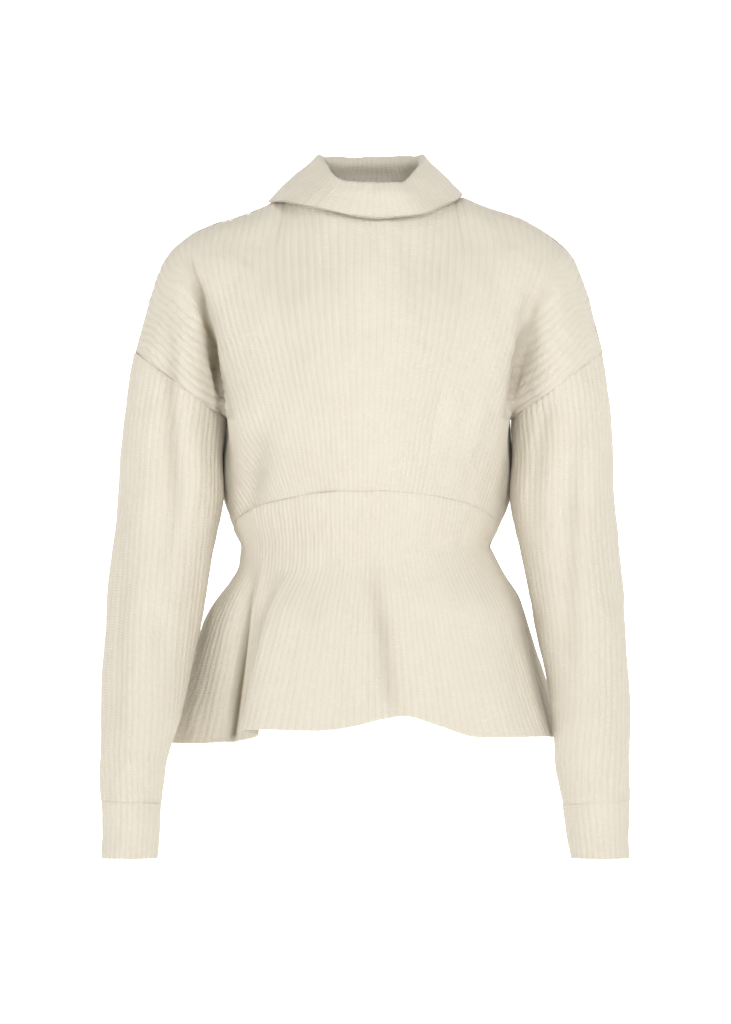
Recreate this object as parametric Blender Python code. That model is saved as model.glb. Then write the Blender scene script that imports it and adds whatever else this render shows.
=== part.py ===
"""A ribbed-knit peplum sweater, hollow as it hangs when worn, in metres with +Z up.

The origin is the middle of the neckline, the front faces -Y, and +X is the right of the front
view. Every piece that is knitted and linked on is one closed wall: an outer skin whose points
rise at each rib, a plain inner skin, and rims that join them. Pieces stop just short of each
other at their seams.
"""
import bpy
import math
import numpy as np

# ---------------------------------------------------------------- driving dimensions
KNIT_WALL = 0.0022          # plain thickness of the knit, at a furrow
RIB_RISE = 0.0012           # how far a rib stands over the furrows beside it
SEAM_GAP = 0.0003           # gap that two pieces keep at a seam

HALF_RIBS = 40              # ribs of a bodice or peplum panel from its middle to its side
NECK_RIB = 12               # rib that meets the neck end of the shoulder seam
SLEEVE_RIBS = 24            # ribs of a sleeve from its outer line to its underarm seam
COLLAR_RIBS = 84            # ribs round the collar
INNER_STEP = 4              # half ribs from one inner point to the next

NECK_HALF_WIDTH = 0.086
NECK_FRONT = 0.072
NECK_BACK = 0.062
NECK_SIDE_Z = 0.0165
NECK_FRONT_Z = -0.010
NECK_BACK_Z = 0.026

WAIST_SEAM_Z = -0.293       # middle of the arched waist seam
WAIST_ARCH = 0.039          # how far the seam drops from there to the sides

ARM_TOP = np.array((0.245, 0.0, -0.148))     # where the shoulder seam meets the sleeve
UNDERARM = np.array((0.1495, 0.0, -0.218))   # where the side seam meets the sleeve
ARM_HALF_DEPTH = 0.057

# Shoulder line from the neck to the sleeve: x, z
SHOULDER_LINE = (
    (0.0860, 0.0165),
    (0.0930, 0.0143),
    (0.0985, 0.0138),
    (0.1025, 0.0130),
    (0.1065, 0.0108),
    (0.1160, 0.0070),
    (0.1265, 0.0030),
    (0.1400, -0.0010),
    (0.1595, -0.0080),
    (0.1795, -0.019),
    (0.1940, -0.029),
    (0.2070, -0.040),
    (0.2155, -0.052),
    (0.2230, -0.071),
    (0.2300, -0.092),
    (0.2385, -0.124),
    (0.2450, -0.148),
)

# Course of the ribs between the shoulder and the underarm, four stations down each rib:
# rib, x, z, y of the front, y of the back. Rib 24 and its neighbours dip into the armpit fold.
RIB_COURSE = {
    0.25: (
        (0, 0.000, -0.056, -0.092, 0.084),
        (12, 0.098, -0.042, -0.050, 0.052),
        (17, 0.137, -0.040, -0.046, 0.046),
        (21, 0.166, -0.048, -0.044, 0.043),
        (24, 0.184, -0.063, -0.039, 0.041),
        (27, 0.198, -0.079, -0.041, 0.042),
        (31, 0.211, -0.100, -0.041, 0.041),
        (36, 0.2265, -0.132, -0.039, 0.039),
        (40, 0.2310, -0.1582, -0.0403, 0.0403),
    ),
    0.50: (
        (0, 0.000, -0.112, -0.104, 0.097),
        (12, 0.093, -0.100, -0.083, 0.080),
        (17, 0.130, -0.099, -0.073, 0.072),
        (21, 0.153, -0.104, -0.062, 0.065),
        (24, 0.164, -0.109, -0.046, 0.058),
        (27, 0.173, -0.117, -0.049, 0.056),
        (31, 0.186, -0.133, -0.056, 0.057),
        (36, 0.198, -0.158, -0.058, 0.058),
        (40, 0.19725, -0.183, -0.057, 0.057),
    ),
    0.75: (
        (0, 0.000, -0.166, -0.110, 0.098),
        (12, 0.082, -0.160, -0.100, 0.090),
        (17, 0.114, -0.159, -0.088, 0.083),
        (21, 0.137, -0.162, -0.074, 0.074),
        (24, 0.1485, -0.168, -0.053, 0.063),
        (27, 0.1530, -0.176, -0.034, 0.050),
        (31, 0.1590, -0.185, -0.038, 0.046),
        (36, 0.1680, -0.198, -0.047, 0.048),
        (40, 0.1635, -0.2077, -0.0403, 0.0403),
    ),
    1.00: (
        (0, 0.000, -0.218, -0.111, 0.093),
        (12, 0.069, -0.218, -0.107, 0.089),
        (17, 0.097, -0.218, -0.099, 0.083),
        (21, 0.120, -0.218, -0.089, 0.076),
        (24, 0.135, -0.218, -0.075, 0.066),
        (27, 0.1430, -0.219, -0.058, 0.053),
        (31, 0.1462, -0.220, -0.036, 0.034),
        (36, 0.1468, -0.220, -0.015, 0.015),
        (40, 0.1495, -0.218, 0.000, 0.000),
    ),
}

# Level cuts through the bodice's foot and the waistband: half width, depth of the front,
# depth of the back, how far the middle and the side lie over the waist seam, and how far
# the side sits behind the origin
BLOUSE_FOLD = (0.1505, 0.110, 0.091, 0.014, 0.030, 0.022)
WAIST_SEAM = (0.1385, 0.100, 0.089, 0.000, 0.000, 0.000)
NARROW_WAIST = (0.1315, 0.093, 0.085)
NARROW_WAIST_Z = -0.352
BODY_SQUARENESS = 2.15      # exponent of the waist's oval, 2 for an ellipse

PANEL_ROWS = (0.0, 0.12, 0.30, 0.52, 0.76, 1.0, 1.33, 1.45)
UNDERARM_ROW = 1.0
BLOUSE_ROW = 1.33
SEAM_ROW = 1.45

# Hem of the peplum, once round from the left side seam over the front: rib, x, y, z.
# Ribs 13 to 25 turn in an S behind the front's left lobe.
HEM_COURSE = (
    (0, -0.222, 0.022, -0.556),
    (5, -0.205, -0.020, -0.556),
    (9, -0.176, -0.040, -0.555),
    (13, -0.143, -0.049, -0.553),
    (16, -0.120, -0.057, -0.550),
    (18, -0.112, -0.072, -0.546),
    (20, -0.118, -0.092, -0.542),
    (22, -0.129, -0.106, -0.539),
    (25, -0.117, -0.123, -0.537),
    (29, -0.088, -0.130, -0.537),
    (34, -0.048, -0.131, -0.538),
    (39, -0.012, -0.124, -0.534),
    (43, 0.018, -0.115, -0.527),
    (46, 0.040, -0.112, -0.524),
    (50, 0.070, -0.118, -0.532),
    (55, 0.106, -0.128, -0.543),
    (60, 0.142, -0.118, -0.545),
    (65, 0.172, -0.092, -0.545),
    (71, 0.194, -0.052, -0.548),
    (80, 0.210, 0.008, -0.552),
    (88, 0.190, 0.076, -0.550),
    (96, 0.150, 0.122, -0.542),
    (104, 0.104, 0.134, -0.535),
    (112, 0.052, 0.148, -0.531),
    (120, 0.002, 0.138, -0.530),
    (128, -0.045, 0.148, -0.531),
    (136, -0.098, 0.134, -0.535),
    (144, -0.150, 0.124, -0.543),
    (152, -0.196, 0.084, -0.552),
)
# Flare: share of the way down from the narrow waist to the hem, share of the way out at the
# left side and at the right side
FLARE = (
    (0.00, 0.00, 0.00),
    (0.12, 0.04, 0.16),
    (0.225, 0.21, 0.32),
    (0.33, 0.375, 0.46),
    (0.49, 0.53, 0.58),
    (0.74, 0.77, 0.775),
    (1.00, 1.00, 1.00),
)
PEPLUM_ROWS = (-1.0, 0.0, 0.13, 0.31, 0.64, 1.0)

# Sleeve: middle x, y, z, half width, half depth, turn of the cut out of level in degrees,
# ribs from the outer line to the underarm seam
SLEEVE_CUTS = (
    (0.2050, -0.003, -0.238, 0.0540, 0.057, 17.0, 24),
    (0.2065, -0.008, -0.295, 0.0545, 0.055, 8.0, 24),
    (0.2145, -0.020, -0.365, 0.0513, 0.0515, 4.0, 22),
    (0.2224, -0.038, -0.430, 0.0478, 0.048, 4.0, 21),
    (0.2302, -0.060, -0.497, 0.0426, 0.043, 4.0, 19),
    (0.2353, -0.080, -0.555, 0.0378, 0.0385, 3.0, 17),
    (0.2385, -0.098, -0.613, 0.0326, 0.033, 3.0, 15),
)
SLEEVE_LEAN = 16.0          # turn of the lower cuts as the forearm comes forward, degrees
CUFF_CUTS = (
    (0.2386, -0.0981, -0.6133, 0.0318, 0.0305, 3.0, 15),
    (0.2398, -0.1075, -0.645, 0.0303, 0.0290, 2.0, 15),
    (0.2410, -0.1150, -0.669, 0.0290, 0.0280, 0.0, 15),
)
# The right sleeve is a little wider than the left one towards the cuff: z, change of each
# half width, outwards on the right and inwards on the left
SLEEVE_CHANGE = (
    (-0.660, 0.0008),
    (-0.600, 0.0022),
    (-0.570, 0.0024),
    (-0.530, 0.0),
)

# Collar, once round from the right side over the back: angle in degrees, then x, y, z of the
# fold's top and of the loose lower edge
COLLAR_COURSE = (
    (0, 0.0560, 0.004, 0.060, 0.0965, 0.000, 0.0195),
    (35, 0.050, 0.036, 0.062, 0.080, 0.046, 0.020),
    (65, 0.032, 0.054, 0.063, 0.045, 0.072, 0.020),
    (90, 0.002, 0.058, 0.063, 0.002, 0.078, 0.020),
    (115, -0.028, 0.054, 0.063, -0.042, 0.073, 0.020),
    (145, -0.047, 0.036, 0.062, -0.082, 0.046, 0.017),
    (180, -0.0555, 0.002, 0.060, -0.1055, -0.002, 0.0150),
    (210, -0.0475, -0.026, 0.050, -0.0920, -0.030, 0.0100),
    (240, -0.032, -0.054, 0.031, -0.058, -0.066, 0.0010),
    (270, 0.004, -0.064, 0.0265, 0.004, -0.080, -0.0115),
    (300, 0.037, -0.057, 0.0285, 0.058, -0.068, -0.0055),
    (330, 0.0505, -0.029, 0.048, 0.0885, -0.032, 0.0100),
)
COLLAR_FOLD = 0.0052        # half thickness of the folded edge
COLLAR_SWELL = 0.002        # how far the folded-down part bows out
COLLAR_WALL = 0.0026
NECK_INSET = 0.003          # how far the collar's foot stands inside the neckline

# The whole garment hangs a little to one side at the top: z, shift in x
SIDE_SHIFT = (
    (-0.352, 0.0),
    (-0.300, 0.0010),
    (-0.150, 0.0038),
    (0.000, 0.0045),
    (0.060, 0.0045),
)
# The left shoulder lies lower than the right one: x, drop
SHOULDER_DROP = (
    (-0.180, 0.0),
    (-0.140, 0.0035),
    (-0.108, 0.0035),
    (-0.090, 0.0),
)

KNIT_COLOUR = (0.84, 0.76, 0.63, 1.0)
KNIT_ROUGHNESS = 0.9

SLOPE_STEP = 0.02           # distance in ribs and rows to the points that give a slope
SIDE_INSET = 0.035          # share of a rib by which a peplum panel stops short of its side


# ---------------------------------------------------------------- curves
def smooth(rows, at):
    """A smooth curve through rows whose first column is the position along it."""
    table = np.asarray(rows, dtype=float)
    knots = table[:, 0]
    values = table[:, 1:]
    slopes = np.gradient(values, knots, axis=0)
    return hermite(knots, values, slopes, slopes, at)


def smooth_round(rows, length, at):
    """The same for a closed curve that repeats after length."""
    table = np.asarray(rows, dtype=float)
    before = table[-3:].copy()
    before[:, 0] -= length
    after = table[:3].copy()
    after[:, 0] += length
    return smooth(np.vstack((before, table, after)), np.mod(at, length))


def hermite(knots, values, slopes_in, slopes_out, at):
    """Cubic pieces between knots; a slope may differ on the two sides of a knot."""
    at = np.atleast_1d(np.asarray(at, dtype=float))
    span = np.clip(np.searchsorted(knots, at, side="right") - 1, 0, len(knots) - 2)
    width = knots[span + 1] - knots[span]
    share = ((at - knots[span]) / width)[:, None]
    width = width[:, None]
    start = values[span]
    end = values[span + 1]
    leave = slopes_out[span] * width
    reach = slopes_in[span + 1] * width
    return (
        start * (2 * share**3 - 3 * share**2 + 1)
        + leave * (share**3 - 2 * share**2 + share)
        + end * (3 * share**2 - 2 * share**3)
        + reach * (share**3 - share**2)
    )


def ease(low, high, value):
    """0 below low, 1 above high, smooth between."""
    share = np.clip((value - low) / (high - low), 0.0, 1.0)
    return share * share * (3 - 2 * share)


def unit(vector):
    """Vectors along the last axis, made one long."""
    vector = np.asarray(vector, dtype=float)
    return vector / np.maximum(np.linalg.norm(vector, axis=-1, keepdims=True), 1e-12)


def along(points, distances):
    """Points at the given shares of a polyline's length."""
    steps = np.linalg.norm(np.diff(points, axis=0), axis=1)
    reached = np.concatenate(((0.0,), np.cumsum(steps)))
    reached /= reached[-1]
    return np.stack([np.interp(distances, reached, column) for column in points.T], axis=-1)


def between(rows, at):
    """Straight lines between the rows of a two-column table."""
    places, values = np.transpose(rows)
    return np.interp(at, places, values)


def lean(points):
    """Points moved by the garment's slight shift to one side and its lower left shoulder."""
    moved = np.array(points, dtype=float)
    high = ease(-0.10, -0.02, moved[..., 2])
    moved[..., 2] -= between(SHOULDER_DROP, moved[..., 0]) * high
    moved[..., 0] += between(SIDE_SHIFT, moved[..., 2])
    return moved


# ---------------------------------------------------------------- bodice
def neckline(angle):
    """A point of the neckline; 0 at the right shoulder, a quarter turn at the back."""
    forward = math.sin(angle)
    depth = NECK_BACK if forward > 0 else NECK_FRONT
    end_z = NECK_BACK_Z if forward > 0 else NECK_FRONT_Z
    z = NECK_SIDE_Z + (end_z - NECK_SIDE_Z) * forward**2
    return np.array((NECK_HALF_WIDTH * math.cos(angle), depth * forward, z))


def oval(half_width, depth, ribs):
    """Points of a quarter of the body's oval, from its middle to its side, at equal ribs."""
    turns = np.linspace(0.0, math.pi / 2, 200)
    power = 2.0 / BODY_SQUARENESS
    quarter = np.stack((half_width * np.sin(turns) ** power, depth * np.cos(turns) ** power), axis=-1)
    return along(quarter, np.asarray(ribs) / HALF_RIBS)


def seam_height(x, half_width):
    """Height of the arched waist seam at x."""
    drop = 1.0 - np.sqrt(np.clip(1.0 - (x / half_width) ** 2, 0.0, 1.0))
    return WAIST_SEAM_Z - WAIST_ARCH * drop


def foot_point(rib, facing, cut):
    """A point of the bodice's foot; facing is -1 on the front and 1 on the back."""
    half_width, front, back, middle_rise, side_rise, side_back = cut
    depth = front if facing < 0 else back
    x, y = oval(half_width, depth, (rib,))[0]
    share = (x / half_width) ** 2
    rise = middle_rise + (side_rise - middle_rise) * share
    return np.array((x, facing * y + side_back * share**2, seam_height(x, half_width) + rise))


def top_point(rib, facing):
    """A point of the neckline or the shoulder line."""
    if rib <= NECK_RIB:
        turn = math.pi / 2 * (rib / NECK_RIB) ** 1.25
        return neckline(facing * (math.pi / 2 - turn))
    line = np.array(SHOULDER_LINE)
    start = neckline(0.0)
    line[0] = (start[0], start[2])
    x, z = along(line, ((rib - NECK_RIB) / (HALF_RIBS - NECK_RIB),))[0]
    return np.array((x, 0.0, z))


def rib_line(rib, facing, rows):
    """Points down one rib of a bodice panel's right half, from the top edge to the waist seam."""
    column = 3 if facing < 0 else 4
    knots = [0.0]
    points = [top_point(rib, facing)]
    for station, course in RIB_COURSE.items():
        table = np.array(course)[:, (0, 1, column, 2)]
        other_side = table[2:0:-1] * (-1, -1, 1, 1)
        table = np.vstack((other_side, table))
        knots.append(station)
        points.append(smooth(table, rib)[0])
    knots.extend((BLOUSE_ROW, SEAM_ROW))
    points.append(foot_point(rib, facing, BLOUSE_FOLD))
    points.append(foot_point(rib, facing, WAIST_SEAM))
    knots = np.array(knots)
    points = np.array(points)
    slopes = np.gradient(points, knots, axis=0)
    over_shoulder = ease(NECK_RIB - 4, NECK_RIB + 1, rib)
    level = np.array((0.0, facing, 0.0)) * np.linalg.norm(points[1] - points[0]) / knots[1] * 1.1
    slopes[0] = slopes[0] * (1 - over_shoulder) + level * over_shoulder
    slopes_in = slopes.copy()
    slopes_out = slopes.copy()
    at_underarm = ease(34.0, 40.0, rib)
    armhole_slope = np.array((0.0, -facing * ARM_HALF_DEPTH * math.pi, 0.0))
    side_slope = (points[5] - points[4]) / (knots[5] - knots[4])
    slopes_in[4] = slopes[4] * (1 - at_underarm) + armhole_slope * at_underarm
    slopes_out[4] = slopes[4] * (1 - at_underarm) + side_slope * at_underarm
    return hermite(knots, points, slopes_in, slopes_out, rows)


def panel_grid(facing, ribs, rows):
    """Furrow points and outward directions of a bodice panel, rib by rib and row by row."""
    step = SLOPE_STEP
    grid = np.array([rib_line(abs(rib), facing, rows) for rib in ribs])
    beside = np.array([rib_line(min(abs(rib) + step, HALF_RIBS), facing, rows) for rib in ribs])
    before = np.array([rib_line(max(abs(rib) - step, 0), facing, rows) for rib in ribs])
    later = np.array([rib_line(abs(rib), facing, np.minimum(rows + step, SEAM_ROW)) for rib in ribs])
    sooner = np.array([rib_line(abs(rib), facing, np.maximum(rows - step, 0)) for rib in ribs])
    across = beside - before
    down = later - sooner
    normal = unit(np.cross(across, down) * facing)
    for index, rib in enumerate(ribs):
        edge_normals(normal[index], abs(rib), facing, rows)
    flip = np.sign(np.where(np.array(ribs) < 0, -1.0, 1.0))[:, None]
    grid[:, :, 0] *= flip
    normal[:, :, 0] *= flip
    return lean(grid), normal


def edge_normals(normal, rib, facing, rows):
    """Outward directions at a panel's edges, turned so that they lie in the seam."""
    seam = unit(ARM_TOP - UNDERARM)
    across_seam = np.array((seam[2], 0.0, -seam[0]))
    for index, row in enumerate(rows):
        if row == 0.0 and rib >= NECK_RIB:
            normal[index, 1] = 0.0
        elif row == 0.0:
            normal[index] = (normal[index, 0], normal[index, 1], max(normal[index, 2], 0.4))
        if row == SEAM_ROW:
            normal[index, 2] = 0.0
        if rib == 0:
            normal[index, 0] = 0.0
        if rib == HALF_RIBS and row < 1.0:
            normal[index] -= across_seam * np.dot(normal[index], across_seam)
        elif rib == HALF_RIBS and row == 1.0:
            normal[index] = (0.6, 0.0, -0.8)
        elif rib == HALF_RIBS:
            normal[index] = (1.0, 0.0, 0.0)
        normal[index] = unit(normal[index])


def seam_shift(facing, rib, row):
    """How far a bodice panel's edge point moves back from its seam."""
    half = SEAM_GAP / 2
    move = np.zeros(3)
    if abs(rib) == HALF_RIBS and row <= 1.0:
        seam = unit(ARM_TOP - UNDERARM)
        move += np.array((-seam[2] * math.copysign(1.0, rib), 0.0, seam[0])) * half
    if (abs(rib) >= NECK_RIB and row == 0.0) or (abs(rib) == HALF_RIBS and row >= 1.0):
        move += np.array((0.0, facing, 0.0)) * half
    if row == 0.0 and abs(rib) <= NECK_RIB:
        move += np.array((0.0, 0.0, -1.0)) * half
    if row == SEAM_ROW:
        move += np.array((0.0, 0.0, 1.0)) * half
    return move


# ---------------------------------------------------------------- peplum
def waist_round(rib, cut):
    """x and y of the waist at a rib of the peplum's round, as numbered in HEM_COURSE."""
    rib = rib % (4 * HALF_RIBS)
    facing = -1.0 if rib <= 2 * HALF_RIBS else 1.0
    from_left = rib if facing < 0 else 4 * HALF_RIBS - rib
    signed = from_left - HALF_RIBS
    depth = cut[1] if facing < 0 else cut[2]
    x, y = oval(cut[0], depth, (abs(signed),))[0]
    return np.array((math.copysign(x, signed), facing * y))


def peplum_point(rib, row):
    """A point of the peplum: row -1 at the waist seam, 0 at the narrow waist, 1 at the hem."""
    seam_xy = waist_round(rib, WAIST_SEAM)
    seam = np.append(seam_xy, seam_height(seam_xy[0], WAIST_SEAM[0]))
    seam = lean(seam)
    narrow = np.append(waist_round(rib, NARROW_WAIST), NARROW_WAIST_Z)
    if row < 0:
        share = row + 1.0
        point = seam + (narrow - seam) * share
        point[:2] = seam[:2] + (narrow[:2] - seam[:2]) * ease(0.0, 1.0, share)
        return point
    hem = smooth_round(HEM_COURSE, 4 * HALF_RIBS, rib)[0]
    left_out, right_out = smooth(FLARE, row)[0]
    out = left_out + (right_out - left_out) * ease(-0.05, 0.18, hem[0])
    point = narrow + (hem - narrow) * out
    point[2] = NARROW_WAIST_Z + (hem[2] - NARROW_WAIST_Z) * row
    return point


def peplum_grid(ribs, rows):
    """Furrow points and outward directions of a stretch of the peplum."""
    step = SLOPE_STEP
    grid = np.array([[peplum_point(rib, row) for row in rows] for rib in ribs])
    beside = np.array([[peplum_point(rib + step, row) for row in rows] for rib in ribs])
    before = np.array([[peplum_point(rib - step, row) for row in rows] for rib in ribs])
    later = np.array([[peplum_point(rib, min(row + step, 1.0)) for row in rows] for rib in ribs])
    sooner = np.array([[peplum_point(rib, max(row - step, -1.0)) for row in rows] for rib in ribs])
    normal = np.cross(beside - before, sooner - later)
    normal[:, 0, 2] = 0.0
    normal[:, -1, 2] = 0.0
    return grid, unit(normal)


# ---------------------------------------------------------------- sleeves, cuffs and collar
def cut_frame(cut, side):
    """Middle, outward axis, forward axis and half width of a sleeve's cut."""
    change = side * between(SLEEVE_CHANGE, cut[2])
    turn = math.radians(cut[5])
    bend = math.radians(SLEEVE_LEAN) * ease(-0.30, -0.45, cut[2])
    outward = np.array((math.cos(turn), 0.0, math.sin(turn)))
    forward = np.array((0.0, -math.cos(bend), math.sin(bend)))
    middle = np.array(((cut[0] - change) * side, cut[1], cut[2]))
    outward[0] *= side
    return lean(middle), outward, forward, cut[3] + change


def sleeve_ring(cut, side, ribs):
    """Furrow points and outward directions round one cut of a sleeve or cuff."""
    middle, outward, forward, half_width = cut_frame(cut, side)
    turns = np.asarray(ribs) / cut[6] * math.pi
    cosine = np.cos(turns)[:, None]
    sine = np.sin(turns)[:, None]
    ring = middle + outward * cosine * half_width + forward * sine * cut[4]
    normal = unit(outward * cosine * cut[4] + forward * sine * half_width)
    return ring, normal


def armhole_ring(side, ribs):
    """Furrow points and outward directions of the sleeve's top, along the panels' edges."""
    rows = np.array([row for row in PANEL_ROWS if row <= 1.0])
    loops = {}
    for facing in (-1, 1):
        points = rib_line(HALF_RIBS, facing, rows)
        normals = np.array([armhole_normal(row, facing) for row in rows])
        loops[facing] = (points, normals)
    ring = []
    normal = []
    for rib in ribs:
        facing = -1 if rib >= 0 else 1
        points, normals = loops[facing]
        row = abs(rib) / SLEEVE_RIBS
        ring.append([np.interp(row, rows, points[:, axis]) for axis in range(3)])
        normal.append([np.interp(row, rows, normals[:, axis]) for axis in range(3)])
    ring = np.array(ring)
    normal = unit(normal)
    ring[:, 0] *= side
    normal[:, 0] *= side
    return lean(ring), normal


def armhole_normal(row, facing):
    """Outward direction round the armhole, in the seam's plane; it turns down at the underarm."""
    seam = unit(ARM_TOP - UNDERARM)
    turn = row * math.pi
    half_length = np.linalg.norm(ARM_TOP - UNDERARM) / 2
    forward = np.array((0.0, facing, 0.0))
    around = seam * math.cos(turn) * ARM_HALF_DEPTH + forward * math.sin(turn) * half_length
    if row == 1.0:
        return np.array((-0.6, 0.0, -0.8))
    return unit(around)


def collar_skin(angle):
    """The collar's visible skin at an angle, from the loose edge over the fold to the neckline."""
    degrees = math.degrees(angle) % 360.0
    course = smooth_round(COLLAR_COURSE, 360.0, degrees)[0]
    fold = course[:3]
    loose = course[3:]
    base = neckline(angle)
    outward = unit(fold * (1.0, 1.0, 0.0))
    outer = fold + outward * COLLAR_FOLD - np.array((0.0, 0.0, COLLAR_FOLD))
    inner = fold - outward * COLLAR_FOLD - np.array((0.0, 0.0, COLLAR_FOLD))
    away = unit(base * (1.0, 1.0, 0.0))
    stand = base - away * NECK_INSET + np.array((0.0, 0.0, SEAM_GAP / 2))
    mid_fall = (outer + loose) / 2 + outward * COLLAR_SWELL
    mid_stand = (inner + stand) / 2
    return np.array((loose, mid_fall, outer, fold, inner, mid_stand, stand))


# ---------------------------------------------------------------- closed walls
class Wall:
    """Collects the points and faces of one closed wall."""

    def __init__(self):
        self.points = []
        self.faces = []

    def add(self, points):
        """Store points and return their numbers."""
        first = len(self.points)
        self.points.extend(tuple(point) for point in points)
        return list(range(first, len(self.points)))

    def face(self, *corners):
        """Store one triangle unless two of its corners are the same point."""
        if len(set(corners)) == 3:
            self.faces.append(corners)

    def stitch(self, upper, lower):
        """Fill between two rows of (position, point number) pairs with triangles."""
        high = 0
        low = 0
        while high < len(upper) - 1 or low < len(lower) - 1:
            if self.upper_first(upper, lower, high, low):
                self.face(upper[high][1], lower[low][1], upper[high + 1][1])
                high += 1
            else:
                self.face(upper[high][1], lower[low][1], lower[low + 1][1])
                low += 1

    def upper_first(self, upper, lower, high, low):
        """Whether the next triangle takes its third corner from the upper row."""
        if high == len(upper) - 1:
            return False
        if low == len(lower) - 1:
            return True
        next_high = upper[high + 1][0]
        next_low = lower[low + 1][0]
        if abs(next_high - next_low) > 1e-6:
            return next_high < next_low
        falling = np.subtract(self.points[upper[high][1]], self.points[lower[low + 1][1]])
        rising = np.subtract(self.points[lower[low][1]], self.points[upper[high + 1][1]])
        return np.dot(rising, rising) < np.dot(falling, falling)

    def build(self, name):
        """Make the mesh object, with its own material."""
        mesh = bpy.data.meshes.new(name)
        mesh.from_pydata(self.points, [], self.faces)
        mesh.update()
        mesh.shade_smooth()
        mesh.set_sharp_from_angle(angle=math.radians(60))
        mesh.materials.append(knit_material(name))
        piece = bpy.data.objects.new(name, mesh)
        bpy.context.scene.collection.objects.link(piece)
        return piece


def knit_material(name):
    """The cream wool of one piece."""
    material = bpy.data.materials.new(name + "_knit")
    material.use_nodes = True
    shader = material.node_tree.nodes["Principled BSDF"]
    shader.inputs["Base Color"].default_value = KNIT_COLOUR
    shader.inputs["Roughness"].default_value = KNIT_ROUGHNESS
    shader.inputs["Metallic"].default_value = 0.0
    return material


def half_ribs(low, high):
    """Positions of all furrows and rib tops from low to high."""
    return [index / 2 for index in range(int(low * 2), int(high * 2) + 1)]


def rib_top(rib):
    """True where a position is the top of a rib."""
    return int(round(rib * 2)) % 2 == 1


def open_wall(name, ribs, outer_rows, inner_rows):
    """A panel: rows of outer and inner points, top to bottom, joined by rims all round."""
    wall = Wall()
    coarse = ribs[::INNER_STEP]
    outer = [list(zip(ribs, wall.add(row))) for row in outer_rows]
    inner = [list(zip(coarse, wall.add(row[::INNER_STEP]))) for row in inner_rows]
    for upper, lower in zip(outer, outer[1:]):
        wall.stitch(upper, lower)
    for upper, lower in zip(inner, inner[1:]):
        wall.stitch(lower, upper)
    wall.stitch(inner[0], outer[0])
    wall.stitch(outer[-1], inner[-1])
    levels = range(len(outer))
    for end in (0, -1):
        out_edge = [(level, outer[level][end][1]) for level in levels]
        in_edge = [(level, inner[level][end][1]) for level in levels]
        if end == 0:
            wall.stitch(out_edge, in_edge)
        else:
            wall.stitch(in_edge, out_edge)
    return wall.build(name)


def tube_wall(name, outer_rings, inner_rings, turned=False):
    """A tube: rings of (positions, points) from top to bottom, joined by rims at its ends."""
    wall = Wall()

    def close(positions, points):
        numbers = wall.add(points[:-1])
        return list(zip(positions, numbers + numbers[:1]))

    outer = [close(*ring) for ring in outer_rings]
    inner = [close(*ring) for ring in inner_rings]
    strips = list(zip(outer, outer[1:]))
    strips += [(lower, upper) for upper, lower in zip(inner, inner[1:])]
    strips += [(inner[0], outer[0]), (outer[-1], inner[-1])]
    for upper, lower in strips:
        if turned:
            wall.stitch(lower, upper)
        else:
            wall.stitch(upper, lower)
    return wall.build(name)


# ---------------------------------------------------------------- pieces
def rib_rise(ribs, last=None):
    """How far each position rises; ribs fade into the underarm seam at the last one."""
    rise = np.array([RIB_RISE if rib_top(rib) else 0.0 for rib in ribs])
    if last:
        rise *= 1.0 - ease(0.80, 0.90, np.abs(ribs) / last)
    return rise


def raise_ribs(grid, normal, ribs, fading_level=None):
    """Outer points: furrows stay, rib tops rise, and fade towards the sides at one level."""
    outer = grid + normal * rib_rise(ribs)[:, None, None]
    if fading_level is not None:
        faded = rib_rise(ribs, HALF_RIBS)[:, None]
        outer[:, fading_level] = grid[:, fading_level] + normal[:, fading_level] * faded
    return outer


def make_bodice(name, facing):
    """The front or the back bodice panel."""
    rows = np.array(PANEL_ROWS)
    ribs = half_ribs(-HALF_RIBS, HALF_RIBS)
    grid, normal = panel_grid(facing, ribs, rows)
    for index, rib in enumerate(ribs):
        for level, row in enumerate(rows):
            grid[index, level] += seam_shift(facing, rib, row)
    outer = raise_ribs(grid, normal, ribs, PANEL_ROWS.index(UNDERARM_ROW))
    inner = grid - normal * KNIT_WALL
    if facing > 0:
        outer = outer[::-1]
        inner = inner[::-1]
    return open_wall(name, ribs, outer.swapaxes(0, 1), inner.swapaxes(0, 1))


def make_peplum(name, first_rib):
    """The front or the back of the peplum with its half of the waistband."""
    rows = np.array(PEPLUM_ROWS)
    ribs = half_ribs(first_rib, first_rib + 2 * HALF_RIBS)
    places = [min(max(rib, ribs[0] + SIDE_INSET), ribs[-1] - SIDE_INSET) for rib in ribs]
    grid, normal = peplum_grid(places, rows)
    grid[:, 0, 2] -= SEAM_GAP / 2
    outer = raise_ribs(grid, normal, ribs)
    inner = grid - normal * KNIT_WALL
    return open_wall(name, ribs, outer.swapaxes(0, 1), inner.swapaxes(0, 1))


def ring_pair(points, normals, ribs, last=None):
    """Outer and inner rings of a ribbed tube, each with its positions."""
    points = np.array(points)
    points[-1] = points[0]
    normals[-1] = normals[0]
    outer = points + normals * rib_rise(ribs, last)[:, None]
    count = len(ribs) - 1
    picks = [index for index in range(0, count, INNER_STEP)] + [count]
    inner = points[picks] - normals[picks] * KNIT_WALL
    return (ribs, outer), ([ribs[index] for index in picks], inner)


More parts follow.
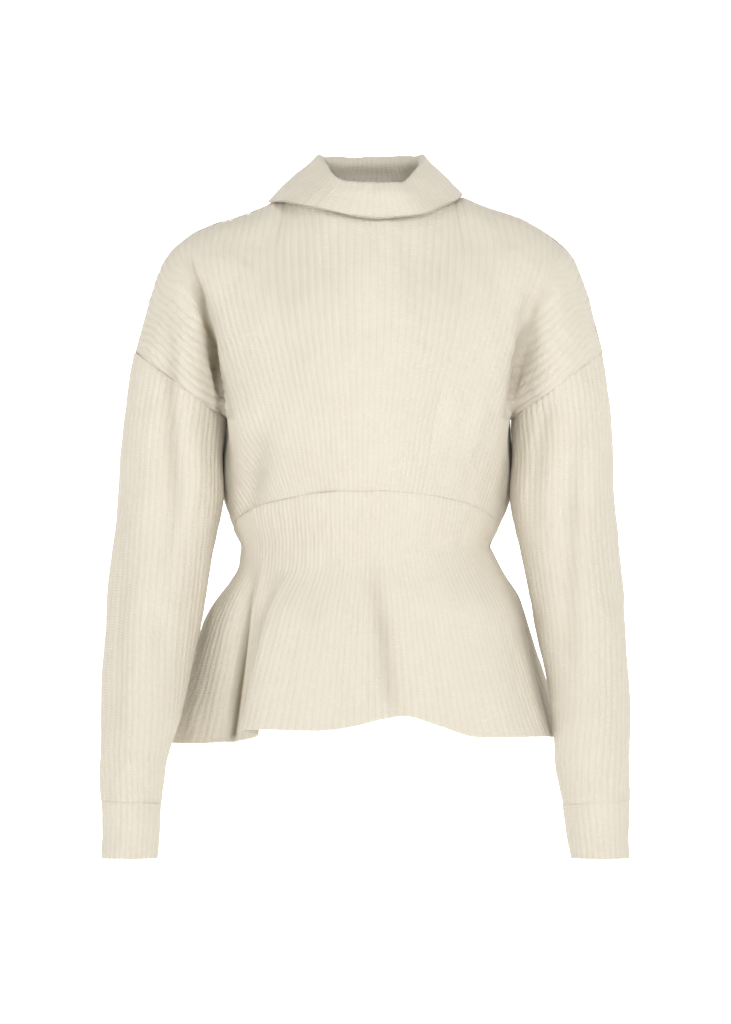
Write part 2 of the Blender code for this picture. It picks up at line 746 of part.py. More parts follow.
def make_sleeve(name, side):
    """A sleeve, from the armhole to the cuff seam; side is 1 at +X."""
    outer_rings = []
    inner_rings = []
    ribs = half_ribs(-SLEEVE_RIBS, SLEEVE_RIBS)
    points, normals = armhole_ring(side, ribs)
    seam = unit(ARM_TOP - UNDERARM)
    points = points + np.array((seam[2] * side, 0.0, -seam[0])) * (SEAM_GAP / 2)
    rings = [(points, normals, ribs)]
    for cut in SLEEVE_CUTS:
        ribs = half_ribs(-cut[6], cut[6])
        rings.append((*sleeve_ring(cut, side, ribs), ribs))
    for level, (points, normals, ribs) in enumerate(rings):
        outer, inner = ring_pair(points, normals, ribs, SLEEVE_RIBS if level < 2 else None)
        outer_rings.append(outer)
        inner_rings.append(inner)
    return tube_wall(name, outer_rings, inner_rings, turned=side > 0)


def make_cuff(name, side):
    """The ribbed cuff under a sleeve."""
    outer_rings = []
    inner_rings = []
    for cut in CUFF_CUTS:
        ribs = half_ribs(-cut[6], cut[6])
        points, normals = sleeve_ring(cut, side, ribs)
        outer, inner = ring_pair(points, normals, ribs)
        outer_rings.append(outer)
        inner_rings.append(inner)
    return tube_wall(name, outer_rings, inner_rings, turned=side > 0)


def make_collar(name):
    """The funnel collar: one tube that stands on the neckline and folds outwards."""
    count = COLLAR_RIBS * 2
    angles = [2 * math.pi * index / count for index in range(count + 1)]
    skins = lean(np.array([collar_skin(angle) for angle in angles]))
    beside = lean(np.array([collar_skin(angle + SLOPE_STEP) for angle in angles]))
    before = lean(np.array([collar_skin(angle - SLOPE_STEP) for angle in angles]))
    along_skin = np.gradient(skins, axis=1)
    normal = unit(np.cross(beside - before, along_skin))
    positions = [index / 2 for index in range(count + 1)]
    rise = np.array([RIB_RISE if rib_top(rib) else 0.0 for rib in positions])
    ribbed = skins + normal * rise[:, None, None]
    picks = list(range(0, count + 1, INNER_STEP))
    coarse = [positions[index] for index in picks]
    outer = [(positions, ribbed[:, level]) for level in (0, 1, 2)]
    outer += [(coarse, skins[picks, level]) for level in (3, 4, 5, 6)]
    hidden = skins[picks] - normal[picks] * COLLAR_WALL
    inner = [(coarse, hidden[:, level]) for level in (0, 1, 3, 5, 6)]
    return tube_wall(name, outer, inner, turned=True)


def main():
    """Clear the scene and make every piece."""
    for item in list(bpy.data.objects):
        bpy.data.objects.remove(item, do_unlink=True)
    make_bodice("front_bodice", -1)
    make_bodice("back_bodice", 1)
    make_sleeve("left_sleeve", -1)
    make_sleeve("right_sleeve", 1)
    make_cuff("left_cuff", -1)
    make_cuff("right_cuff", 1)
    make_collar("collar")
    make_peplum("peplum_front", 0)
    make_peplum("peplum_back", 2 * HALF_RIBS)


main()
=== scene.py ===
"""The looks of a ribbed-knit peplum sweater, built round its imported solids, which stay hidden.

Each knitted piece is one thin shell on the form of its solid. Its points follow the ribs: they
rise on each rib, sink in the folds that show in the cloth, and dip where pieces are linked.
Lengths are metres, +Z is up, the front faces -Y and +X is the right of the front view.
"""
import math

import bmesh
import bpy
import numpy as np
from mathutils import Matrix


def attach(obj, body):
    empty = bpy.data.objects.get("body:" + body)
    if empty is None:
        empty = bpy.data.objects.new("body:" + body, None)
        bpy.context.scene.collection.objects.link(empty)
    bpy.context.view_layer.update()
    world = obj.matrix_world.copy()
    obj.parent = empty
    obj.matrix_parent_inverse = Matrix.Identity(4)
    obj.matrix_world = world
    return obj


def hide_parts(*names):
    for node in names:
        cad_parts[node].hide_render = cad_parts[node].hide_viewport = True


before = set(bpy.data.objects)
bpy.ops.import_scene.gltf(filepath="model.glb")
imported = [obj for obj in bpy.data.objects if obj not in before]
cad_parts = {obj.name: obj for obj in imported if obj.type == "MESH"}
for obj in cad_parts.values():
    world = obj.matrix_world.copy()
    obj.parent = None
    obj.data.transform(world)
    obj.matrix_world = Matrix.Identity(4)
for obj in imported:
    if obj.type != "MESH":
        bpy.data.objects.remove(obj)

bl_info = {
    "name": "Peplum sweater",
    "version": (1, 0, 0),
    "blender": (4, 5, 0),
    "location": "3D View > Sidebar > Sweater",
    "description": "Builds a ribbed-knit peplum sweater and its plain studio",
    "category": "Object",
}

# ------------------------------------------------------------------ the cut, as in the solids
SEAM_GAP = 0.0003
HALF_RIBS = 40              # ribs of a bodice or peplum panel from its middle to its side
NECK_RIB = 12               # rib that meets the neck end of the shoulder seam
COLLAR_RIBS = 84

NECK_HALF_WIDTH = 0.086
NECK_FRONT = 0.072
NECK_BACK = 0.062
NECK_SIDE_Z = 0.0165
NECK_FRONT_Z = -0.010
NECK_BACK_Z = 0.026
NECK_SPREAD = 1.25          # exponent that spreads the ribs round the neckline
SHOULDER_FULLNESS = 1.1     # how level the cloth leaves the shoulder seam
SHOULDER_ZONE = (-0.10, -0.02)

WAIST_SEAM_Z = -0.293
WAIST_ARCH = 0.039

ARM_HALF_DEPTH = 0.057
UNDERARM_BLEND = (34.0, 40.0)

# Shoulder line from the neck to the sleeve: x, z
SHOULDER_LINE = (
    (0.0860, 0.0165),
    (0.0930, 0.0143),
    (0.0985, 0.0138),
    (0.1025, 0.0130),
    (0.1065, 0.0108),
    (0.1160, 0.0070),
    (0.1265, 0.0030),
    (0.1400, -0.0010),
    (0.1595, -0.0080),
    (0.1795, -0.0190),
    (0.1940, -0.0290),
    (0.2070, -0.0400),
    (0.2155, -0.0520),
    (0.2230, -0.0710),
    (0.2300, -0.0920),
    (0.2385, -0.1240),
    (0.2450, -0.1480),
)

# Course of the ribs at four stations down each rib: rib, x, z, y of the front, y of the back
RIB_COURSE = {
    0.25: (
        (0, 0.000, -0.056, -0.092, 0.084),
        (12, 0.098, -0.042, -0.050, 0.052),
        (17, 0.137, -0.040, -0.046, 0.046),
        (21, 0.166, -0.048, -0.044, 0.043),
        (24, 0.184, -0.063, -0.039, 0.041),
        (27, 0.198, -0.079, -0.041, 0.042),
        (31, 0.211, -0.100, -0.041, 0.041),
        (36, 0.2265, -0.132, -0.039, 0.039),
        (40, 0.2310, -0.1582, -0.0403, 0.0403),
    ),
    0.50: (
        (0, 0.000, -0.112, -0.104, 0.097),
        (12, 0.093, -0.100, -0.083, 0.080),
        (17, 0.130, -0.099, -0.073, 0.072),
        (21, 0.153, -0.104, -0.062, 0.065),
        (24, 0.164, -0.109, -0.046, 0.058),
        (27, 0.173, -0.117, -0.049, 0.056),
        (31, 0.186, -0.133, -0.056, 0.057),
        (36, 0.198, -0.158, -0.058, 0.058),
        (40, 0.19725, -0.183, -0.057, 0.057),
    ),
    0.75: (
        (0, 0.000, -0.166, -0.110, 0.098),
        (12, 0.082, -0.160, -0.100, 0.090),
        (17, 0.114, -0.159, -0.088, 0.083),
        (21, 0.137, -0.162, -0.074, 0.074),
        (24, 0.1485, -0.168, -0.053, 0.063),
        (27, 0.1530, -0.176, -0.034, 0.050),
        (31, 0.1590, -0.185, -0.038, 0.046),
        (36, 0.1680, -0.198, -0.047, 0.048),
        (40, 0.1635, -0.2077, -0.0403, 0.0403),
    ),
    1.00: (
        (0, 0.000, -0.218, -0.111, 0.093),
        (12, 0.069, -0.218, -0.107, 0.089),
        (17, 0.097, -0.218, -0.099, 0.083),
        (21, 0.120, -0.218, -0.089, 0.076),
        (24, 0.135, -0.218, -0.075, 0.066),
        (27, 0.1430, -0.219, -0.058, 0.053),
        (31, 0.1462, -0.220, -0.036, 0.034),
        (36, 0.1468, -0.220, -0.015, 0.015),
        (40, 0.1495, -0.218, 0.000, 0.000),
    ),
}

# Level cuts: half width, depth of the front, depth of the back, how far the middle and the
# side lie over the waist seam, how far the side sits behind the origin
BLOUSE_FOLD = (0.1505, 0.106, 0.0925, 0.020, 0.030, 0.022)
WAIST_SEAM = (0.1385, 0.100, 0.089, 0.000, 0.000, 0.000)
NARROW_WAIST = (0.1303, 0.093, 0.085)
NARROW_WAIST_Z = -0.352
BODY_SQUARENESS = 2.15
BLOUSE_ROW = 1.33
SEAM_ROW = 1.45

# Hem of the peplum, once round from the left side seam over the front: rib, x, y, z
HEM_COURSE = (
    (0, -0.222, 0.022, -0.556),
    (5, -0.205, -0.020, -0.556),
    (9, -0.177, -0.048, -0.555),
    (13, -0.145, -0.060, -0.553),
    (16, -0.121, -0.063, -0.550),
    (18, -0.112, -0.072, -0.546),
    (20, -0.118, -0.092, -0.542),
    (22, -0.129, -0.106, -0.539),
    (25, -0.117, -0.123, -0.537),
    (29, -0.088, -0.130, -0.537),
    (34, -0.048, -0.131, -0.538),
    (39, -0.012, -0.124, -0.534),
    (43, 0.018, -0.115, -0.527),
    (46, 0.040, -0.112, -0.524),
    (50, 0.070, -0.118, -0.532),
    (55, 0.106, -0.128, -0.543),
    (60, 0.143, -0.122, -0.545),
    (65, 0.171, -0.107, -0.545),
    (69, 0.187, -0.085, -0.546),
    (73, 0.195, -0.055, -0.548),
    (80, 0.210, 0.008, -0.552),
    (88, 0.190, 0.076, -0.550),
    (96, 0.150, 0.122, -0.542),
    (104, 0.104, 0.134, -0.535),
    (112, 0.052, 0.148, -0.531),
    (120, 0.002, 0.138, -0.530),
    (128, -0.045, 0.148, -0.531),
    (136, -0.098, 0.134, -0.535),
    (144, -0.150, 0.124, -0.543),
    (152, -0.196, 0.084, -0.552),
)
# Flare: share of the way down to the hem, share of the way out at the left and at the right
FLARE_BLEND = (-0.05, 0.18)
FLARE = (
    (0.00, 0.00, 0.00),
    (0.12, 0.04, 0.16),
    (0.225, 0.21, 0.32),
    (0.33, 0.375, 0.450),
    (0.49, 0.53, 0.565),
    (0.74, 0.77, 0.775),
    (1.00, 1.00, 1.00),
)

# Sleeve, from the armhole to the cuff seam: middle x, y, z, half width, half depth, turn of the
# cut out of level in degrees, ribs from the outer line to the underarm seam
SLEEVE_CUTS = (
    (0.19725, 0.000, -0.183, 0.0592, 0.057, 36.2, 24),
    (0.2038, -0.003, -0.238, 0.0542, 0.057, 17.0, 24),
    (0.2050, -0.008, -0.295, 0.0547, 0.055, 8.0, 24),
    (0.2145, -0.020, -0.365, 0.0513, 0.0515, 4.0, 22),
    (0.2226, -0.038, -0.430, 0.0480, 0.048, 4.0, 21),
    (0.2302, -0.060, -0.497, 0.0426, 0.043, 4.0, 19),
    (0.2353, -0.080, -0.555, 0.0378, 0.0385, 3.0, 17),
    (0.2385, -0.098, -0.613, 0.0326, 0.033, 3.0, 15),
)
# Turn of the cuts as the forearm comes forward, and back to level at the cuff: z, degrees
SLEEVE_LEAN = (
    (-0.640, 2.5),
    (-0.613, 3.5),
    (-0.560, 10.0),
    (-0.500, 15.5),
    (-0.450, 16.0),
    (-0.375, 8.0),
    (-0.300, 0.0),
)
CUFF_CUTS = (
    (0.2386, -0.0981, -0.6133, 0.0325, 0.0326, 3.0, 15),
    (0.2398, -0.1075, -0.645, 0.0303, 0.0290, 2.0, 15),
    (0.2410, -0.1150, -0.669, 0.0290, 0.0280, 0.0, 15),
)
# z, change of each half width of the right sleeve; the left one changes the other way
SLEEVE_CHANGE = (
    (-0.660, 0.0008),
    (-0.600, 0.0022),
    (-0.570, 0.0024),
    (-0.530, -0.0006),
    (-0.490, -0.0010),
    (-0.430, -0.0014),
    (-0.360, -0.0008),
    (-0.310, 0.0),
)

# Collar, once round from the right side over the back: angle in degrees, then x, y, z of the
# fold's top and of the loose lower edge
COLLAR_COURSE = (
    (0, 0.0562, 0.004, 0.060, 0.0965, 0.000, 0.0195),
    (35, 0.050, 0.036, 0.062, 0.080, 0.046, 0.020),
    (65, 0.032, 0.054, 0.063, 0.045, 0.072, 0.020),
    (90, 0.002, 0.058, 0.063, 0.002, 0.078, 0.020),
    (115, -0.028, 0.054, 0.063, -0.042, 0.073, 0.020),
    (145, -0.047, 0.036, 0.062, -0.082, 0.046, 0.017),
    (180, -0.0538, 0.002, 0.060, -0.1055, -0.002, 0.0150),
    (210, -0.0475, -0.026, 0.050, -0.0920, -0.030, 0.0100),
    (240, -0.032, -0.054, 0.031, -0.058, -0.066, 0.0010),
    (270, 0.004, -0.064, 0.0265, 0.004, -0.080, -0.0115),
    (288, 0.024, -0.0625, 0.0262, 0.034, -0.077, -0.0095),
    (302, 0.0345, -0.057, 0.0270, 0.058, -0.068, -0.0055),
    (318, 0.0440, -0.043, 0.0375, 0.075, -0.051, 0.0025),
    (336, 0.0530, -0.024, 0.0500, 0.0905, -0.026, 0.0115),
)
COLLAR_FOLD = 0.0052
COLLAR_SWELL = 0.001
NECK_INSET = 0.003
COLLAR_KNOTS = (0.0, 0.24, 0.46, 0.52, 0.58, 0.79, 1.0)

SIDE_SHIFT = (
    (-0.352, 0.0),
    (-0.300, 0.0010),
    (-0.150, 0.0038),
    (0.000, 0.0045),
    (0.060, 0.0045),
)
SHOULDER_DROP = (
    (-0.185, 0.0),
    (-0.145, 0.0052),
    (-0.118, 0.0040),
    (-0.104, 0.0035),
    (-0.090, 0.0),
)

# ------------------------------------------------------------------ folds in the cloth
# A fold is a line of rows in the front view, in millimetres: x, z, reach towards -X, reach
# towards +X, depth. A depth under 0 stands out.
FOLD_UNITS = 1000.0         # units of these tables in a metre
FRONT_FOLDS = (
    # the crease beside the left armpit, crisp on the chest's side, and the chest's edge over it
    ((-190, -38, 6, 3, 0), (-183, -52, 6, 2.2, 3), (-169, -91, 6, 2.2, 7),
     (-160.5, -127, 6, 2.2, 9.5), (-153.5, -170, 5.5, 2.2, 9.5), (-149.5, -196, 5, 2.2, 7),
     (-148.5, -212, 4, 2.2, 3)),
    ((-172, -50, 5, 10, 0), (-159, -91, 5, 12, -2.4), (-150, -127, 5, 12, -3.4),
     (-143, -172, 5, 11, -3), (-139, -215, 5, 10, 0)),
    # the softer crease beside the right armpit
    ((176, -104, 3, 6, 0), (169, -118, 2.5, 6, 2.4), (161, -135, 2.2, 6, 5.4),
     (154, -160, 2.2, 6, 8.4), (150, -185, 2.2, 6, 9), (149, -210, 2.2, 5, 4)),
    ((155, -110, 10, 5, 0), (149, -140, 10, 5, -2), (142, -180, 10, 5, -2),
     (140, -215, 10, 5, 0)),
    ((199, -104, 6, 6, 0), (193, -124, 6, 6, 1.6), (187, -140, 7, 7, 0)),
    # trough down the left cap
    ((-207, -80, 10, 10, 0), (-204, -120, 12, 10, 2.8), (-203, -160, 13, 9, 4.6),
     (-202, -190, 13, 9, 5)),
    # trough in the low left of the chest and the swells beside it
    ((-103, -205, 12, 13, 0), (-107, -240, 12, 12, 3.4), (-115, -285, 12, 12, 4.6),
     (-120, -318, 12, 12, 2.4)),
    ((-130, -225, 10, 9, 0), (-130, -262, 10, 10, -2.6), (-132, -300, 9, 9, -1.4),
     (-132, -320, 9, 9, 0)),
    ((-86, -230, 12, 12, 0), (-92, -275, 10, 14, -1.8), (-95, -305, 10, 14, 0)),
    # faint long swells of the chest
    ((60, -120, 20, 20, 0), (66, -200, 22, 22, 1.4), (68, -270, 20, 20, 1.4),
     (66, -300, 18, 18, 0)),
    ((-50, -50, 22, 22, 0), (-52, -130, 24, 24, 1), (-56, -230, 22, 22, 1.4),
     (-60, -290, 18, 18, 0)),
)
BACK_FOLDS = (
    ((-178, -70, 10, 4, 0), (-168, -95, 10, 4, 3), (-158, -135, 10, 4, 6), (-152, -180, 9, 4, 6),
     (-149, -205, 7, 4, 2)),
    ((178, -70, 4, 10, 0), (168, -95, 4, 10, 3.4), (158, -135, 4, 10, 6.6),
     (152, -180, 4, 9, 6.4), (149, -205, 4, 7, 2)),
    ((92, -200, 12, 12, 0), (100, -250, 10, 13, 3.6), (104, -300, 10, 12, 1.8)),
    ((-118, -215, 10, 12, 0), (-114, -262, 11, 10, 3), (-110, -305, 10, 10, 1.2)),
    ((-40, -210, 18, 18, 0), (-44, -270, 16, 14, 2.4), (-46, -300, 14, 14, 0)),
    ((30, -60, 26, 26, 0), (34, -160, 26, 26, 1.8), (34, -260, 22, 22, 0)),
    ((205, -90, 12, 12, 0), (204, -150, 12, 12, 3), (202, -190, 12, 12, 3)),
)
LEFT_SLEEVE_FOLDS = (
    ((-202, -165, 13, 9, 4), (-202, -190, 13, 9, 5.6), (-199, -249, 13, 11, 5.6),
     (-194, -302, 14, 12, 4.6), (-203, -357, 14, 14, 3), (-212, -407, 14, 14, 0)),
    ((-249, -250, 8, 10, 0), (-252, -330, 8, 12, 2.2), (-255, -450, 8, 12, 3),
     (-254, -540, 8, 10, 2), (-250, -590, 8, 10, 0)),
    ((-178, -225, 10, 8, 0), (-174, -275, 10, 8, -2.6), (-178, -330, 10, 10, 0)),
    ((-218, -395, 16, 14, 0), (-212, -440, 14, 12, 2.8), (-220, -500, 14, 14, 0)),
    ((-262, -560, 10, 10, 0), (-240, -588, 8, 8, 1.6), (-214, -600, 8, 8, 0)),
)
RIGHT_SLEEVE_FOLDS = (
    ((190, -185, 8, 10, 0), (186, -215, 8, 12, 3.6), (179, -262, 9, 12, 4.4),
     (172, -312, 9, 12, 3), (178, -370, 10, 10, 0)),
    ((233, -190, 12, 10, 0), (226, -240, 13, 9, 3), (219, -310, 13, 9, 4.4),
     (213, -380, 13, 9, 4.4), (208, -450, 12, 10, 3.4), (210, -520, 13, 13, 0)),
    ((250, -240, 12, 12, 0), (252, -330, 12, 12, 1.8), (253, -420, 12, 12, 0)),
    ((262, -565, 10, 10, 0), (238, -590, 8, 8, 1.8), (214, -598, 8, 8, 0)),
)
PEPLUM_FOLDS = (
    # the left fold: crisp on the lobe's side
    ((-118, -356, 7, 9, 0), (-118.5, -378, 7, 8, 3.4), (-120.5, -405, 7, 2.5, 6.4),
     (-123.5, -440, 7, 2.2, 8.4), (-127.5, -480, 7, 2.2, 9.2), (-133.5, -530, 7, 2.2, 9.2),
     (-135.5, -545, 7, 2.2, 9)),
    ((-106, -360, 10, 14, 0), (-108, -400, 8, 16, -3), (-112, -450, 7, 18, -3.4),
     (-116, -510, 8, 18, 0)),
    # grooves in the middle
    ((2, -345, 10, 10, 0), (8, -375, 9, 12, 3.4), (17, -430, 10, 14, 5.6), (26, -500, 11, 15, 5),
     (34, -530, 12, 16, 3)),
    ((-60, -360, 10, 12, 0), (-56, -420, 11, 13, 3), (-52, -490, 14, 14, 0)),
    ((88, -380, 18, 18, 0), (100, -450, 20, 20, 2), (108, -530, 20, 20, 1.4)),
    ((-165, -440, 10, 10, 0), (-168, -490, 10, 10, 2.6), (-170, -545, 10, 10, 2.6)),
)
PEPLUM_BACK_FOLDS = (
    ((30, -370, 12, 12, 0), (32, -430, 14, 14, 3.4), (28, -520, 16, 16, 2.4)),
    ((-62, -370, 12, 12, 0), (-70, -430, 14, 14, 3.6), (-74, -530, 16, 16, 2.4)),
    ((112, -385, 12, 12, 0), (122, -450, 12, 14, 3), (130, -530, 14, 16, 1)),
)
COLLAR_FOLDS = (
    ((88, 12, 8, 8, 0), (60, 10, 10, 10, 1.2), (30, 8, 10, 10, 0)),
    ((-70, 35, 10, 10, 0), (-40, 20, 12, 12, 1.4), (0, 8, 12, 12, 0)),
)

# Ribs of the drop shoulder run beside the armhole and into the armpit crease. They are level
# curves of z - slope * (x - crease) - bend * (x - crease)^2, whose values give the rib.
CAP_CREASE_X = 0.150
CAP_SLOPE = 0.36
CAP_BEND = 6.2
CAP_RIBS = (
    (-0.300, 48.4),
    (-0.218, 40.0),
    (-0.130, 31.0),
    (-0.0675, 27.0),
    (-0.033, 24.0),
    (0.020, 19.4),
)
CAP_START = (24.2, 26.4)    # ribs over which the chest's course gives way to the cap's
CAP_ROWS = (0.10, 0.26)     # rows over which the cap's course sets in under the shoulder seam
# Ribs low on the left of the chest slant towards the middle: reach in ribs, first rib
SLANT = 3.6
SLANT_FIRST = 8.0
SLANT_SKEW = 1.6
SLANT_ROWS = (1.02, 1.45)

# Patches where the knit is fuller or flatter: x, z, reach in x and in z, change of the share
RIB_PATCHES = (
    (-0.200, -0.145, 0.026, 0.055, 1.10),
    (-0.150, -0.165, 0.016, 0.050, 0.60),
    (-0.132, -0.170, 0.030, 0.110, 0.45),
    (-0.125, -0.275, 0.034, 0.045, 0.70),
    (0.165, -0.180, 0.020, 0.045, 0.90),
    (0.176, -0.300, 0.016, 0.100, 0.45),
    (-0.250, -0.400, 0.012, 0.200, 0.50),
    (-0.080, -0.345, 0.040, 0.035, 0.55),
    (-0.170, -0.480, 0.030, 0.070, 0.30),
    (0.010, -0.470, 0.022, 0.080, 0.35),
    (0.080, -0.200, 0.090, 0.200, -0.45),
    (0.110, -0.450, 0.080, 0.120, -0.45),
)

PATCH_LIMITS = (0.45, 2.4)  # least and most share of the ribs' rise in a patch

# ------------------------------------------------------------------ the knit
RIB_WIDTH = 0.006           # for distances to a side seam
RIB_ROUNDNESS = 0.70        # power that fills out the ribs and narrows the furrows
RIB_SEAT = 0.6              # share of the ribs' rise that lies under the plain form
RIB_SWAY = 0.09             # how far a rib strays from its course, in ribs
SWAY_PATCH = 0.009          # size of the patches that stray together
FULLNESS_PATCH = 0.006      # size of the patches that are fuller or flatter together
FULLNESS_SPREAD = 0.35
SWELLS = ((0.060, 0.0003), (0.028, 0.000175), (0.013, 0.0001))      # size, height
SWELL_WAVES = 5
UNEVEN_WAVES = 7
UNEVEN_RANGE = 1.6          # divides the sum of the waves to bring it to about -1 to 1
SEAM_REACH = 0.0022         # how far from a seam the cloth dips
SEAM_FLATTENING = 0.40      # share of the ribs' rise that is lost at a seam
RIB_SPARED = 0.7            # share of the dip that the tops of the ribs are spared
FOLD_SEEN = (0.05, 0.45)    # how far the cloth has to face a view to have that view's folds
STITCH_LENGTH = 0.0030      # height of one knitted row
# Painted shade: the wool's colour darkens in the folds with their depth, fully at this depth.
CREASE_FULL = 0.0095        # depth of a fold that is as dark as folds get

# ------------------------------------------------------------------ the grids of points
COLUMNS_A_RIB = 6
BODICE_COLUMNS_A_RIB = 5
SLEEVE_GRID = (84, 396)     # rows, columns
CUFF_GRID = (14, 240)
COLLAR_ROW_COUNT = 40
# Bands of rows: from, to, count. The bodice's are close where the cap's ribs run level.
BODICE_BANDS = ((0.0, 0.20, 12), (0.20, 1.0, 76), (1.0, SEAM_ROW, 26))
PEPLUM_BANDS = ((-1.0, 0.0, 13), (0.0, 1.0, 32))
END_CROWDING = 0.07         # how much a tube's rows crowd towards its ends
SIDE_INSET = 0.035          # gap at the peplum's side seams, in ribs
CAP_FOOT = (0.97, 1.0)      # rows over which the cap's course ends
UNDERARM_FADE = (36.0, 40.0, 0.8, 0.05)     # from rib, to rib, share of relief lost, rows
INNER_ARM = (0.72, 0.86)    # share of the way round a sleeve to its plain inner line
INNER_ARM_DEPTH = 0.05      # how far down a sleeve that plain part reaches
UNDERARM_SEAM_SHIFT = 0.002
COLLAR_RELIEF = (0.26, 0.30)        # share of the ribs' rise outside, and what the inside adds
COLLAR_RELIEF_ROWS = (0.50, 0.70)
SAME_POINT = 1e-6           # points nearer than this are one

# ------------------------------------------------------------------ linked seams and yarn
# How far the yarn stands out of the seam, its radius, length of a stitch
SHOULDER_YARN = (0.0002, 0.0006, 0.0030)
ARMHOLE_YARN = (0.0003, 0.0006, 0.0030)
CUFF_YARN = (-0.0001, 0.0006, 0.0030)
WAIST_YARN = (-0.0004, 0.0006, 0.0046)
COLLAR_YARN = (0.0003, 0.0009, 0.0044)
# Painted shade on the yarns: share of the crease shade colour in each; the yarn of the waist seam
# and the collar's edge lies in shade.
YARN_PAINTED_SHADE = {"linking_yarn": 0.0, "shaded_edge_yarn": 0.30}     # share of the crease tone in each yarn
YARN_SIDES = 6
YARN_FLATNESS = 0.8         # width of the yarn to its height
YARN_NECK = 0.62            # radius between two stitches, as a share
POINTS_A_STITCH = 4

# ------------------------------------------------------------------ wool
WOOL_SHADER = {
    "Roughness": 0.86,
    "Specular IOR Level": 0.18,
    "Sheen Weight": 0.35,
    "Sheen Roughness": 0.45,
    "Sheen Tint": (1.0, 0.95, 0.86, 1.0),
}
CLOUD_NOISE = (26.0, 3.0)   # scale, detail
FIBRE_NOISE = (900.0, 2.0)
# Painted shade: CREASE_POWER and CREASE_MOST shape the shade painted in the folds, FURROW_POWER
# narrows the shade painted in the furrows.
CREASE_POWER = 2.6          # keeps shallow folds light
CREASE_MOST = 0.85
FURROW_POWER = 5.0
STITCH_SLANT = 0.7          # how far a stitch climbs from its rib's middle to the furrow
# Shares of the furrow colour: painted shade in a furrow, darker or lighter tone in a patch, on a
# stitch, in plain yarn
FURROW_SHADE_SHARE = 0.28
PATCH_TONE = 0.35
STITCH_TONE = -0.05
YARN_TONE = (0.3, 0.15)
BUMP_HEIGHTS = {"fibre": 0.35, "stitch": 0.5}
BUMP = {"Strength": 0.55, "Distance": 0.0004}

# ------------------------------------------------------------------ studio
FLOOR_Z = -0.95
FLOOR_WIDTH = 8.0           # half of it
FLOOR_FRONT = -6.0
FLOOR_RUN = 16.0
FLOOR_STEPS = 40
BEND_START = 4.0            # where the floor starts to curve up
BEND_RUN = 3.0
BEND_RADIUS = 1.9
FLOOR_GLOW = {"From Min": 0.25, "From Max": 0.75, "To Min": 0.30, "To Max": 1.05}
AIR_LIGHT = 0.48
LIGHT_AIM = (0.0, 0.0, -0.32)
# Soft lights: place, width, power
SOFTBOXES = {
    "key_softbox": ((1.9, -4.0, 1.7), 1.5, 60.0),
    "front_softbox": ((-1.5, -4.1, 1.4), 1.5, 36.0),
    "right_softbox": ((3.4, -2.2, 0.5), 1.3, 26.0),
    "top_softbox": ((0.2, -1.6, 3.0), 1.4, 9.0),
    "left_softbox": ((-3.4, -2.2, 0.1), 1.6, 34.0),
}
CAMERA_DISTANCE = 4.5
CAMERA_Z = -0.315
VIEW_HEIGHT = 1.0752        # height of the picture at the sweater
SENSOR = 36.0               # millimetres

LEVEL = np.array((1.0, 1.0, 0.0))


# ------------------------------------------------------------------ settings of the add-on
class SweaterKnit(bpy.types.PropertyGroup):
    """Sizes of the knit that a user may change."""

    rib_rise: bpy.props.FloatProperty(
        name="Rib rise",
        description="How far a rib stands over the furrows beside it",
        default=0.0010,
        min=0.0, max=0.003, precision=4, unit="LENGTH",
    )
    wall: bpy.props.FloatProperty(
        name="Cloth thickness",
        description="Thickness of the knitted cloth",
        default=0.0021,
        min=0.001, max=0.003, precision=4, unit="LENGTH",
    )
    fold_depth: bpy.props.FloatProperty(
        name="Fold depth",
        description="Share of the folds' depth that is shown",
        default=1.0,
        min=0.0, max=1.5, subtype="FACTOR",
    )
    seam_dip: bpy.props.FloatProperty(
        name="Seam dip",
        description="How far the cloth dips at a linked seam",
        default=0.0002,
        min=0.0, max=0.002, precision=4, unit="LENGTH",
    )


class SweaterColours(bpy.types.PropertyGroup):
    """Colours of the wool, of the shade painted in its furrows and folds, and of the studio."""

    wool: bpy.props.FloatVectorProperty(
        name="Wool",
        description="Colour of the wool on the ribs",
        default=(0.635, 0.587, 0.494),
        min=0.0, max=1.0, size=3, subtype="COLOR",
    )
    # Painted shade: the furrows between the ribs darken towards this colour, which also gives the
    # wool its darker patches at random.
    furrow_shade: bpy.props.FloatVectorProperty(
        name="Furrow",
        description="Deeper tone of the wool between the ribs",
        default=(0.51, 0.445, 0.335),
        min=0.0, max=1.0, size=3, subtype="COLOR",
    )
    # Painted shade: the wool deep in a fold darkens towards this colour.
    crease_shade: bpy.props.FloatVectorProperty(
        name="Crease",
        description="Tone of the wool deep in a fold, where little light reaches",
        default=(0.17, 0.132, 0.062),
        min=0.0, max=1.0, size=3, subtype="COLOR",
    )
    studio: bpy.props.FloatVectorProperty(
        name="Studio",
        description="Colour of the floor and the backdrop",
        default=(1.0, 1.0, 1.0),
        min=0.0, max=1.0, size=3, subtype="COLOR",
    )


# ------------------------------------------------------------------ curves and forms
def hermite(knots, values, slopes_in, slopes_out, at):
    """Cubic pieces between knots; a slope may differ on the two sides of a knot."""
    knots = np.asarray(knots, dtype=float)
    at = np.atleast_1d(np.asarray(at, dtype=float))
    span = np.clip(np.searchsorted(knots, at, side="right") - 1, 0, len(knots) - 2)
    shape = (-1,) + (1,) * (values.ndim - 1)
    width = (knots[span + 1] - knots[span]).reshape(shape)
    share = (at - knots[span]).reshape(shape) / width
    return (
        values[span] * (2 * share**3 - 3 * share**2 + 1)
        + slopes_out[span] * width * (share**3 - 2 * share**2 + share)
        + values[span + 1] * (3 * share**2 - 2 * share**3)
        + slopes_in[span + 1] * width * (share**3 - share**2)
    )


